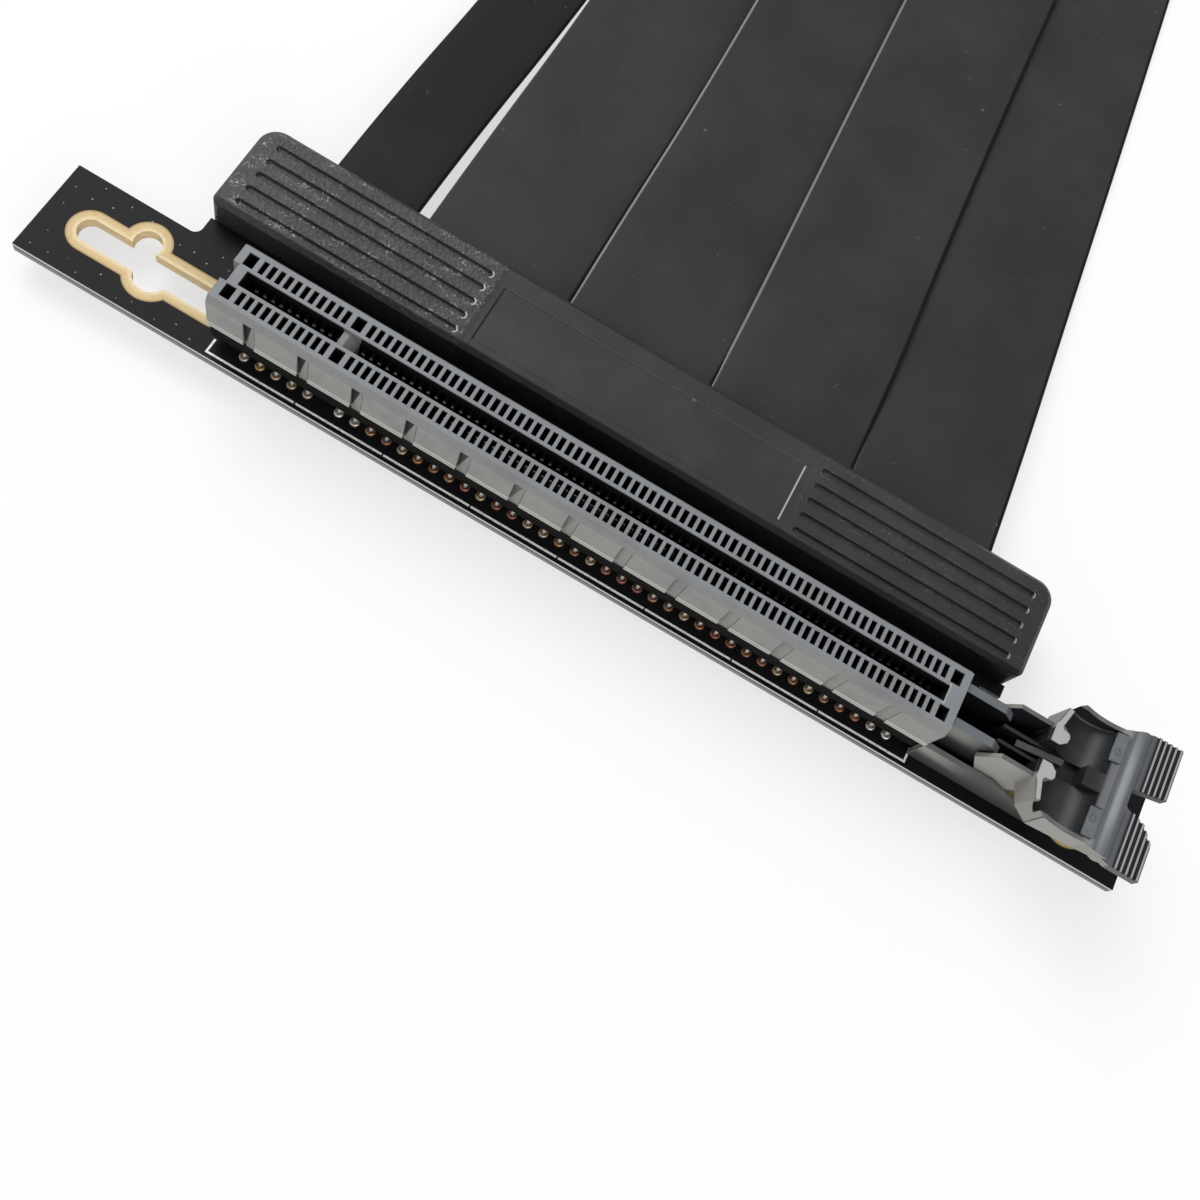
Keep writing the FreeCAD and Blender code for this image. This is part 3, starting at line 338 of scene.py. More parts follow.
@dataclass(frozen=True)
class SlotNylon(Finish):
    """Grey nylon of the slot, with painted light and shade: up-facing rims painted cooler than the side
    plates, painted highlight lines, lit and shaded arms and walls, and painted black shade in its hollows and
    undersides.
    """

    name: str = "slot_nylon"
    plate: Colour = shade("8c8c88")
    # Painted light: up-facing tops take this cooler tone, the side plates the warmer plate tone.
    rim: Colour = shade("7d8084")
    cloud: Colour = shade("707174")
    # Painted highlight on the plates' lower lip and edge, and on the slot's end bar.
    lip_highlight: Colour = shade("c2c1ba")
    # Painted shade: thin dark lines at the edges of the grooves between the plates.
    seam: Colour = shade("3e3e3c")
    # Painted shade: nearly black in the slot, the cavities, between the arms and below the plates.
    hollow_shade: Colour = shade("040405")
    # Painted light and shade of the guide arms: a shaded side, a lit patch and lighter tops.
    shaded_arm: Colour = shade("2a2b2e")
    arm_lit: Colour = shade("85857f")
    lit_arm_top: Colour = shade("62656a")
    # Painted shade of the outer end walls, and painted light on their tops.
    shaded_wall: Colour = shade("2c2c2a")
    lit_wall_top: Colour = shade("777876")
    fade: float = 0.1 * MM
    thin_fade: float = 0.05 * MM
    left: float = -43.2 * MM
    right: float = 44.9 * MM
    slot_end: float = 43.2 * MM
    key: float = -29.45 * MM
    key_length: float = 1.1 * MM
    key_half: float = 1.05 * MM
    hollow_half: float = 3.2 * MM
    plate_half: float = 4.0 * MM
    under_half: float = 3.6 * MM
    end_half: float = 1.2 * MM
    end_line: Span = (0.14 * MM, 0.05 * MM)
    groove: float = -38.8 * MM
    groove_pitch: float = 6.5 * MM
    groove_share: float = 0.1
    groove_soft: float = 0.01
    groove_line: Span = (0.014, 0.005)
    groove_bottom: Span = (8.3 * MM, 8.5 * MM)
    plate_bottom: float = 9.8 * MM
    plate_top: float = 14.8 * MM
    plate_lean: float = 0.28 * MM
    lip_top: float = 10.6 * MM
    edge_top: float = 10.14 * MM
    hollow_top: Span = (15.73 * MM, 15.45 * MM)
    wedge_depth: Span = (0.34 * MM, 0.4 * MM)
    wedge_run: Span = (8 * MM, -18 * MM)
    arm_gap: float = 1.6 * MM
    arm_half: float = 2.6 * MM
    arm_run: Span = (51 * MM, 46.5 * MM)
    arm_rise: Span = (11.2 * MM, 13.6 * MM)
    wall_run: Span = (45.5 * MM, 52 * MM)
    wall_drop: Span = (8.6 * MM, 6.2 * MM)

    def _turn(self, x: Link) -> Link:
        """Distance from the nearest groove between the side plates, as a share of their pitch."""
        return abs(x.share(self.groove, self.groove_pitch))

    def _shadow(self, x: Link, across: Link, z: Link) -> Link:
        """Where no light reaches: in the slot, the cavities, between the arms and below the plates.

        Args:
            x: Place along the slot.
            across: Distance from its middle line.
            z: Height.

        Returns:
            One where it is dark.
        """
        fade, thin = self.fade, self.thin_fade
        before_end = x.step(self.right + fade, self.right)
        slot = across.step(self.hollow_half, self.hollow_half - fade) * before_end
        slot = slot * x.step(self.left - fade, self.left)
        bar = x.near(self.key, self.key_length, self.key_length - fade)
        bar = bar * across.step(self.key_half, self.key_half - thin)
        between = across.step(self.arm_gap, self.arm_gap - thin) * (1 - before_end)
        hollow_shade = (slot * (1 - bar * 0.92) + between) * z.step(*self.hollow_top)
        notch = self._turn(x).step(self.groove_share + self.groove_soft, self.groove_share)
        under = across.step(self.under_half, self.under_half - thin) * before_end
        under = under * (1 - notch * z.step(*self.groove_bottom) * 0.75)
        under = under * z.step(self.plate_bottom, self.plate_bottom - fade)
        rise = (z - self.plate_bottom) / (self.plate_top - self.plate_bottom)
        depth = self.plate_half - across + rise * self.plate_lean
        wedge = depth.step(*self.wedge_depth) * across.step(self.under_half - fade, self.under_half)
        wedge = wedge * notch * x.step(*self.wedge_run) * z.step(self.plate_top + fade, self.plate_top)
        wedge = wedge * z.step(self.plate_bottom - fade, self.plate_bottom)
        return hollow_shade | under | wedge * 0.9

    def lay(self, recipe: Recipe) -> None:
        """Lay the nodes.

        Args:
            recipe: The material's nodes.
        """
        x, y, z = recipe.along(recipe.place())
        _, _, up = recipe.facing()
        across = abs(y - SLOT_LINE)
        turn = self._turn(x)
        dark = self._shadow(x, across, z)
        clouds = recipe.noise(5 * MM, 4.0).step(0.42, 0.75)
        grime = recipe.noise(0.9 * MM, 4.0, 0.7).step(0.5, 0.8)
        fine = recipe.noise(0.3 * MM, 2.0, 0.6)
        level = up.step(0.3, 0.8)
        high = z.step(self.plate_top - self.fade, self.plate_top)
        raised = z.step(self.plate_bottom - self.fade, self.plate_bottom)
        # Painted light: up-facing tops are coloured cooler than the side plates.
        skin = recipe.mix(level * high, self.plate, self.rim)
        skin = recipe.mix(clouds * 0.6 | grime * 0.7, skin, self.cloud)
        # Painted highlight on the up-facing lip below the plates.
        skin = recipe.mix(level * z.step(self.lip_top, self.lip_top - self.fade) * raised, skin, self.lip_highlight)
        outside = across.step(self.under_half, self.under_half + self.thin_fade) * (1 - level) * raised
        # Painted shade lines at the groove edges.
        seam = turn.near(self.groove_share, *self.groove_line) * (1 - high)
        skin = recipe.mix(outside * seam * 0.7, skin, self.seam)
        # Painted highlight line along the plates' lower edge.
        edge = z.step(self.edge_top, self.edge_top - self.fade)
        edge = edge * turn.step(self.groove_share, self.groove_share + self.groove_soft)
        skin = recipe.mix(outside * edge * 0.9, skin, self.lip_highlight)
        # Painted highlight line on top of the slot's end bar.
        bar = across.step(self.end_half, self.end_half - self.fade) * high * level
        bright = x.near(self.slot_end, *self.end_line)
        skin = recipe.mix(bar * bright * 0.6, skin, self.lip_highlight)
        # Painted light and shade on the guide arms beyond the slot.
        beyond = x.step(self.right + self.fade, self.right + 3 * self.fade)
        lit = x.step(*self.arm_run) * z.step(*self.arm_rise)
        shaded_arm = recipe.mix(level, recipe.mix(lit * 0.8, self.shaded_arm, self.arm_lit), self.lit_arm_top)
        skin = recipe.mix(beyond * across.step(self.arm_half + self.fade, self.arm_half), skin, shaded_arm)
        # Painted shade: the outer walls darken towards the latch end and the board; painted light on their
        # tops.
        wall_shade_mask = x.step(*self.wall_run) | z.step(*self.wall_drop)
        shaded_wall = recipe.mix(level * 0.8, recipe.mix(wall_shade_mask * 0.85, self.plate, self.shaded_wall), self.lit_wall_top)
        skin = recipe.mix(beyond * across.step(self.arm_half, self.arm_half + self.fade), skin, shaded_wall)
        # Painted shade from _shadow blackens the hollows and undersides.
        recipe.set(Base_Color=recipe.mix(dark, skin, self.hollow_shade), Specular_IOR_Level=0.24,
                   Roughness=0.36 + fine * 0.14 + dark * 0.5,
                   Normal=recipe.bump(fine + grime * 0.5, 0.015 * MM, 0.6, recipe.eased(0.09 * MM)))


@dataclass(frozen=True)
class LatchNylon(Finish):
    """Polished black nylon of the latch, with painted highlights on its up-facing flats, rims and band,
    painted light on its heads' fronts and outer front cheeks, and painted shade lines round the pads.
    """

    name: str = "latch_nylon"
    colour: Colour = shade("222325")
    cloud: Colour = shade("2d2e31")
    # Painted highlight on the up-facing flats of the heads and the rib crests.
    flat_highlight: Colour = shade("a0a1a1")
    # Painted light on the outer front cheeks and the heads' front faces.
    cheek_light: Colour = shade("918f8a")
    # Painted highlight along the band.
    band_highlight: Colour = shade("868c8f")
    # Painted sheen on the up-facing band and the strip before it.
    band_sheen: Colour = shade("686b70")
    # Painted highlight on the up-facing rims of the wings and heads.
    rim: Colour = shade("80827f")
    # Painted shade lines round the moulded pads.
    gap: Colour = shade("151618")
    tab_start: Span = (65.4 * MM, 65.6 * MM)
    head_end: Span = (57.3 * MM, 57.2 * MM)
    head_top: Span = (16.51 * MM, 16.54 * MM)
    rib_top: Span = (16.55 * MM, 16.65 * MM)
    first_rib: float = 66.15 * MM
    rib_pitch: float = 0.64 * MM
    front_bottom: Span = (10.4 * MM, 10.6 * MM)
    cheek_side: Span = (-2.9 * MM, -3.0 * MM)
    inner_side: Span = (2.6 * MM, 2.8 * MM)
    band: float = 63.95 * MM
    band_reach: Span = (0.75 * MM, 0.1 * MM)
    band_side: Span = (7 * MM, 2 * MM)
    ridge_start: Span = (62.1 * MM, 62.4 * MM)
    ridge_end: Span = (66.0 * MM, 65.8 * MM)
    wing_side: Span = (5.9 * MM, 6.1 * MM)
    wing_end: Span = (63.4 * MM, 63.2 * MM)
    rim_bottom: Span = (15.85 * MM, 15.95 * MM)
    pad_aside: float = 4.4 * MM
    pad_half: float = 1.76 * MM
    pad_start: Span = (61.55 * MM, 61.65 * MM)
    pad_end: Span = (62.95 * MM, 62.75 * MM)

    def lay(self, recipe: Recipe) -> None:
        """Lay the nodes.

        Args:
            recipe: The material's nodes.
        """
        x, y, z = recipe.along(recipe.place())
        ahead, side, up = recipe.facing()
        across = abs(y - SLOT_LINE)
        outside = across.step(*self.inner_side)
        upward = up.step(0.1, 0.4)
        on_tab = x.step(*self.tab_start)
        at_heads = x.step(*self.head_end)
        crest = abs(x.share(self.first_rib, self.rib_pitch)).step(0.22, 0.12)
        ribs = on_tab * z.step(*self.rib_top) * crest
        # Painted highlight: up-facing flats of the heads and rib crests.
        flats = up.step(0.9, 0.97) * (at_heads * z.step(*self.head_top) + ribs * 0.8)
        # Painted light: front faces of the heads and the outer front cheeks.
        lit_fronts = ahead.step(-0.25, -0.5) * at_heads * z.step(*self.front_bottom)
        lit_cheeks = side.step(-0.75, -0.95) * (y - SLOT_LINE).step(*self.cheek_side) * (1 - on_tab * 0.8)
        clouds = recipe.noise(3 * MM, 4.0).step(0.4, 0.7)
        fine = recipe.noise(0.3 * MM, 2.0, 0.6)
        skin = recipe.mix(clouds, self.colour, self.cloud)
        # Painted sheen on the up-facing band.
        band_sheen = x.step(*self.ridge_start) * x.step(*self.ridge_end) * upward
        skin = recipe.mix(band_sheen * 0.6, skin, self.band_sheen)
        wings = across.step(*self.wing_side) * x.step(*self.wing_end)
        # Painted highlight on up-facing rims.
        edges = (wings | at_heads * outside * z.step(*self.rim_bottom)) * up.step(0.35, 0.6)
        skin = recipe.mix(edges * (0.4 + clouds * 0.3), skin, self.rim)
        # Painted highlight streak along the band.
        shine = x.near(self.band, *self.band_reach) * up.step(0.5, 0.9)
        skin = recipe.mix(shine * (across.step(*self.band_side) * 0.6 + 0.25), skin, self.band_highlight)
        skin = recipe.mix(lit_cheeks | lit_fronts * outside, skin, self.cheek_light)
        # Painted shade lines round the pads.
        pad_shadow_lines = abs(across - self.pad_aside).near(self.pad_half, *DRAWN_LINE) * upward
        pad_shadow_lines = pad_shadow_lines * x.step(*self.pad_start) * x.step(*self.pad_end)
        skin = recipe.mix(pad_shadow_lines * 0.85, skin, self.gap)
        recipe.set(Base_Color=recipe.mix(flats, skin, self.flat_highlight), Specular_IOR_Level=0.3,
                   Roughness=0.36 + fine * 0.12 + flats * 0.1,
                   Normal=recipe.bump(fine, 0.012 * MM, 0.5, recipe.eased(0.12 * MM)))


@dataclass(frozen=True)
class PittedCover(Finish):
    """Charcoal cover plastic, eroded to a pitted grain where there are grips, with painted shade in the pits
    and painted highlight flecks and glints.

    An end of the grip grooves has its X, how far beyond that its glint starts, and the glint's strength.
    """

    name: str = "cover_plastic"
    gripped: float = 1.0
    colour: Colour = shade("232325")
    worn: Colour = shade("2d2d2f")
    eroded: Colour = shade("48484a")
    # Painted shade in the pits and along the panel's left edge.
    pit_and_line_shade: Colour = shade("121213")
    # Painted highlight for the grain's flecks and along the panel's rear line.
    fleck_highlight: Colour = shade("b0b0b2")
    glint: Colour = shade("d0d0d2")
    pit: float = 0.5 * MM
    grip_inner: float = 21.0 * MM
    grip_start: Span = (20.4 * MM, 21.2 * MM)
    grip_first: float = -4.6 * MM
    grip_pitch: float = 2.05 * MM
    grip_border: Span = (0.825 * MM, 0.475 * MM)
    grip_edge: float = 0.435 * MM
    grip_middle: float = -0.5 * MM
    grip_reach: Span = (4.7 * MM, 4.6 * MM)
    ends: Sequence[tuple[float, float, float]] = ((-22.125 * MM, 0.0, 0.8), (49.575 * MM, 0.2 * MM, 0.5))
    end_line: Span = (0.11 * MM, 0.03 * MM)
    end_rise: float = 0.2 * MM
    panel_half: float = 19.8 * MM
    panel_side: Span = (19.9 * MM, 19.8 * MM)
    right_line: Span = (0.12 * MM, 0.04 * MM)
    left_line: Span = (0.12 * MM, 0.06 * MM)
    panel_front: float = -4.5 * MM
    panel_rear: float = 3.0 * MM
    panel_fade: float = 0.05 * MM
    left_reach: Span = (6.0 * MM, 5.8 * MM)
    top: Span = (8.4 * MM, 8.5 * MM)

    def _glints(self, x: Link, y: Link, z: Link, aside: Link) -> Link:
        """Bright crescents round the ends of the grip grooves, and along the panel's right edge.

        Args:
            x: Place along the cover.
            y: Place across it.
            z: Height.
            aside: Distance across from the nearest groove's middle.

        Returns:
            One where a glint is.
        """
        found = x.near(self.panel_half, *self.right_line) * 0.7
        found = found * y.step(self.panel_front - self.panel_fade, self.panel_front)
        found = found * y.step(self.panel_rear + self.panel_fade, self.panel_rear)
        for place, start, strength in self.ends:
            beyond = x - place
            ring = beyond.hypot(aside).near(self.grip_edge, *self.end_line)
            ring = ring * beyond.step(start, start + self.end_rise)
            found = found + ring * y.near(self.grip_middle, *self.grip_reach) * strength
        return found * z.step(*self.top)

    def lay(self, recipe: Recipe) -> None:
        """Lay the nodes.

        Args:
            recipe: The material's nodes.
        """
        x, y, z = recipe.along(recipe.place())
        _, _, up = recipe.facing()
        aside = y.share(self.grip_first, self.grip_pitch) * self.grip_pitch
        grips = abs(x).step(*self.grip_start) * self.gripped
        rough = grips * (x.step(0.0, -self.grip_inner) * 0.85 + 0.15)
        pits = recipe.node("TexVoronoi", {"feature": "F1"},
                           {"Vector": recipe.place(), "Scale": 1 / self.pit, "Randomness": 1.0})
        fine = recipe.noise(0.28 * MM, 2.0, 0.6)
        patches = recipe.noise(1.6 * MM, 3.0, 0.7, recipe.place((0.45, 1.0, 1.0)))
        clouds = recipe.noise(9 * MM, 3.0).step(0.38, 0.68)
        border = abs(aside).step(*self.grip_border) * 0.7 + 0.3
        # Painted highlight flecks on the up-facing eroded grain.
        highlight_flecks = patches.step(0.48, 0.62) * fine.step(0.5, 0.66) * rough * up.step(0.6, 0.9) * border
        skin = recipe.mix(clouds, self.colour, self.worn)
        skin = recipe.mix(rough * 0.3, skin, self.eroded)
        # Painted shade in the pits.
        skin = recipe.mix(pits.step(0.28, 0.1) * rough * 0.5, skin, self.pit_and_line_shade)
        skin = recipe.mix(highlight_flecks * 0.7, skin, self.fleck_highlight)
        skin = recipe.mix(self._glints(x, y, z, aside), skin, self.glint)
        # Painted light that lifts the shade of the panel's rear line, with sparse specks.
        rear = y.near(self.panel_rear, *DRAWN_LINE) * abs(x).step(*self.panel_side)
        skin = recipe.mix(rear * (recipe.noise(1.1 * MM, 3.0).step(0.62, 0.7) * 0.3 + 0.09), skin, self.fleck_highlight)
        # Painted shade line along the panel's left edge.
        left = x.near(-self.panel_half, *self.left_line) * y.near(self.panel_front, *self.left_reach)
        skin = recipe.mix(left * 0.9, skin, self.pit_and_line_shade)
        height = (pits * 0.7 + fine * 0.6 + patches * 0.9) * (rough * 0.85 + 0.15)
        recipe.set(Base_Color=skin, Roughness=0.5 + fine * 0.14 - grips * 0.07, Specular_IOR_Level=0.38,
                   Normal=recipe.bump(height, 0.1 * MM, 1.0, recipe.eased(0.25 * MM)))


@dataclass(frozen=True)
class MaskedBoard(Finish):
    """Black solder mask on both faces, pale laminate on the cut edges and bare rings round the keyholes.

    A hole is given by X of its two end centres, how far its middle is behind the slot's, and its radius.
    """

    name: str = "masked_board"
    mask: Colour = shade("0f0f11")
    mask_thin: Colour = shade("1b1b1d")
    laminate: Colour = shade("c2c2be")
    lower: Colour = shade("8a8a87")
    seam: Colour = shade("1c1c1b")
    ring: Colour = shade("cfb88c")
    # Painted highlight towards the ring's inner edge.
    ring_inner_highlight: Colour = shade("e2cfa8")
    ring_outer: Colour = shade("a3895f")
    ring_edge: Span = (1.21 * MM, 1.09 * MM)
    ring_bright: Span = (0.6 * MM, 0.1 * MM)
    ring_dull: Span = (0.8 * MM, 1.15 * MM)
    seam_height: float = 3.85 * MM
    seam_fade: float = 0.05 * MM
    holes: Sequence[tuple[float, float, float, float]] = (
        (-61.85 * MM, -45.6 * MM, 0.25 * MM, 1.5 * MM), (-56.05 * MM, -56.05 * MM, 2.45 * MM, 1.6 * MM),
        (-53.55 * MM, -53.55 * MM, -0.55 * MM, 2.1 * MM), (55.0 * MM, 66.5 * MM, 0.25 * MM, 1.5 * MM),
        (65.0 * MM, 65.0 * MM, -0.9 * MM, 2.1 * MM))

    def _nearest(self, x: Link, y: Link) -> Link:
        """Distance from the nearest of the long and round holes.

        Args:
            x: Place along the card slot.
            y: Place across it.

        Returns:
            Distance in metres, negative inside.
        """
        found: Link | None = None
        for low, high, offset, radius in self.holes:
            beyond = x - x.math("MINIMUM", high).math("MAXIMUM", low)
            one = beyond.hypot(y - (SLOT_LINE + offset)) - radius
            found = one if found is None else found.math("MINIMUM", one)
        assert found is not None
        return found

    def lay(self, recipe: Recipe) -> None:
        """Lay the nodes.

        Args:
            recipe: The material's nodes.
        """
        x, y, z = recipe.along(recipe.place())
        _, _, up = recipe.facing()
        nearest = self._nearest(x, y)
        face = abs(up).step(0.4, 0.6)
        bare = nearest.step(*self.ring_edge)
        weave = recipe.noise(0.5 * MM, 3.0, place=recipe.place((1.0, 1.0, 3.0)))
        upper = z.step(self.seam_height - self.seam_fade, self.seam_height + self.seam_fade)
        edge = recipe.mix(upper, self.lower, self.laminate)
        edge = recipe.mix(z.near(self.seam_height, *DRAWN_LINE), edge, self.seam)
        # Painted highlight towards the inner edge; darker towards the outer edge and in mottles.
        cream = recipe.mix(nearest.step(*self.ring_bright), self.ring, self.ring_inner_highlight)
        cream = recipe.mix(nearest.step(*self.ring_dull) * 0.8, cream, self.ring_outer)
        cream = recipe.mix(weave.step(0.45, 0.85) * 0.4, cream, self.ring_outer)
        lines = recipe.noise(0.9 * MM, 1.0, place=recipe.place((0.15, 1.0, 1.0)))
        flat = recipe.mix(bare, recipe.mix(weave * 0.3, self.mask, self.mask_thin), cream)
        recipe.set(Base_Color=recipe.mix(face, recipe.mix(bare, edge, cream), flat), Specular_IOR_Level=0.12,
                   Roughness=0.46 + bare * 0.12 + (1 - face) * 0.2,
                   Normal=recipe.bump(lines, 0.01 * MM, 0.4))


@dataclass(frozen=True)
class RibbonJacket(Finish):
    """Matt black jacket with dust, a painted highlight on the left edge, a painted shade line on the right
    edge, and faint lines of the conductors under it.
    """

    name: str = "ribbon_jacket"
    colour: Colour = shade("29292b")
    dusty: Colour = shade("333335")
    dark: Colour = shade("0f0d11")
    mote: Colour = shade("6c6c72")
    # Painted shade line along each strip's right edge.
    edge: Colour = shade("050506")
    # Painted highlight on the left edge, by each strip's share.
    edge_glint_colour: Colour = shade("8e8e90")
    conductors: int = 16
    right_edge_shade: Span = (0.966, 0.98)
    left_edge: Span = (0.018, 0.01)

    def lay(self, recipe: Recipe) -> None:
        """Lay the nodes.

        Args:
            recipe: The material's nodes.
        """
        across, _, _ = recipe.along(recipe.node("UVMap", {"uv_map": "lay"}))
        ripple = (across * (self.conductors * 2 * math.pi)).math("SINE") * 0.5 + 0.5
        clouds = recipe.noise(14 * MM, 4.0, 0.6).step(0.3, 0.75)
        fine = recipe.noise(0.16 * MM, 2.0, 0.6)
        motes = recipe.noise(1.3 * MM, 2.0, 0.6).step(0.72, 0.8)
        # Painted highlight on the left edge, by each strip's share.
        scuff = across.step(*self.left_edge) * recipe.attribute("scuff")
        skin = recipe.mix(clouds, self.colour, self.dusty)
        skin = recipe.mix(recipe.attribute("tone"), skin, self.dark)
        skin = recipe.mix(motes * 0.5, skin, self.mote)
        # Painted shade line on the right edge.
        skin = recipe.mix(across.step(*self.right_edge_shade), skin, self.edge)
        skin = recipe.mix(scuff * (fine * 0.5 + 0.6), skin, self.edge_glint_colour)
        recipe.set(Base_Color=skin, Specular_IOR_Level=0.18, Roughness=0.52 + clouds * 0.08 + fine * 0.06,
                   Normal=recipe.bump(ripple * 0.2 + fine * 0.3, 0.012 * MM, 0.4))


@dataclass(frozen=True)
class Metal(Finish):
    """Plated or tinned metal with fine scratches and duller patches."""

    name: str
    colour: Colour
    dull: Colour
    roughness: float

    def lay(self, recipe: Recipe) -> None:
        """Lay the nodes.

        Args:
            recipe: The material's nodes.
        """
        patches = recipe.noise(1.2 * MM, 3.0).step(0.35, 0.7)
        lines = recipe.noise(0.2 * MM, 2.0, place=recipe.place((1.0, 0.1, 0.3)))
        recipe.set(Base_Color=recipe.mix(patches, self.colour, self.dull), Metallic=1.0,
                   Roughness=self.roughness + lines * 0.15, Normal=recipe.bump(lines, 0.006 * MM, 0.4))


@dataclass(frozen=True)
class ContactBronze(Finish):
    """Contact metal under painted shade: nearly black in the cavities and on the tails' upper parts, paler at
    the bow, where it is dimmer towards +X, and tinned at the lower tail.
    """

    name: str = "contact_bronze"
    # Painted shade: nearly black where the contacts lie in their cavities and on the tails' upper parts.
    dark: Colour = shade("0c0b0a")
    bow: Colour = shade("c0bab0")
    dim_bow: Colour = shade("5e5a53")
    tin: Colour = shade("d2cfca")
    bow_side: Span = (0.92 * MM, 0.77 * MM)
    bow_rise: Span = (11.5 * MM, 11.8 * MM)
    dim_run: Span = (-20 * MM, 15 * MM)
    tail_drop: Span = (5.25 * MM, 5.05 * MM)

    def lay(self, recipe: Recipe) -> None:
        """Lay the nodes.

        Args:
            recipe: The material's nodes.
        """
        x, y, z = recipe.along(recipe.place())
        tail = z.step(*self.tail_drop)
        bow = y.near(SLOT_LINE, *self.bow_side) * z.step(*self.bow_rise)
        rub = recipe.noise(0.4 * MM, 2.0)
        # Painted shade everywhere but the bow and the lower tail; the bow is dimmer towards +X.
        colour = recipe.mix(bow, self.dark, recipe.mix(x.step(*self.dim_run), self.bow, self.dim_bow))
        recipe.set(Base_Color=recipe.mix(tail, colour, self.tin), Metallic=bow * 0.3 + tail * 0.8,
                   Roughness=0.3 + rub * 0.2 + (1 - bow - tail) * 0.35, Specular_IOR_Level=0.2,
                   Normal=recipe.bump(rub, 0.006 * MM, 0.4))


@dataclass(frozen=True)
class SolderMetal(Finish):
    """Solder joints: a painted shade for the hole, bare copper, gilt or bright tin, by each point's own tone.
    """

    name: str = "solder_joint"
    # Tone 0 is the painted shade of the hole; the others run from copper to bright tin.
    stops: Sequence[tuple[float, Colour]] = (
        (0.0, shade("120906")), (0.18, shade("331a11")), (0.3, shade("935d50")), (0.5, shade("b3975c")),
        (0.7, shade("b8a89f")), (1.0, shade("e2e0dc")))

    def lay(self, recipe: Recipe) -> None:
        """Lay the nodes.

        Args:
            recipe: The material's nodes.
        """
        tone = recipe.attribute("tone")
        crust = recipe.noise(0.35 * MM, 3.0)
        colour = recipe.node("ValToRGB", {"stops": self.stops}, {0: tone + (crust - 0.5) * 0.1})
        recipe.set(Base_Color=colour, Metallic=tone.step(0.1, 0.3) * 0.8, Roughness=0.24 + crust * 0.2,
                   Normal=recipe.bump(crust, 0.02 * MM, 0.5))


@dataclass(frozen=True)
class ScreenInk(Finish):
    """White legend ink, slightly broken where it is thin."""

    name: str = "legend_ink"
    colour: Colour = shade("f0f0ec")
    thin: Colour = shade("c4c4c0")

    def lay(self, recipe: Recipe) -> None:
        """Lay the nodes."""
        worn = recipe.noise(0.4 * MM, 3.0).step(0.45, 0.75)
        recipe.set(Base_Color=recipe.mix(worn, self.colour, self.thin), Roughness=0.6 + worn * 0.1)


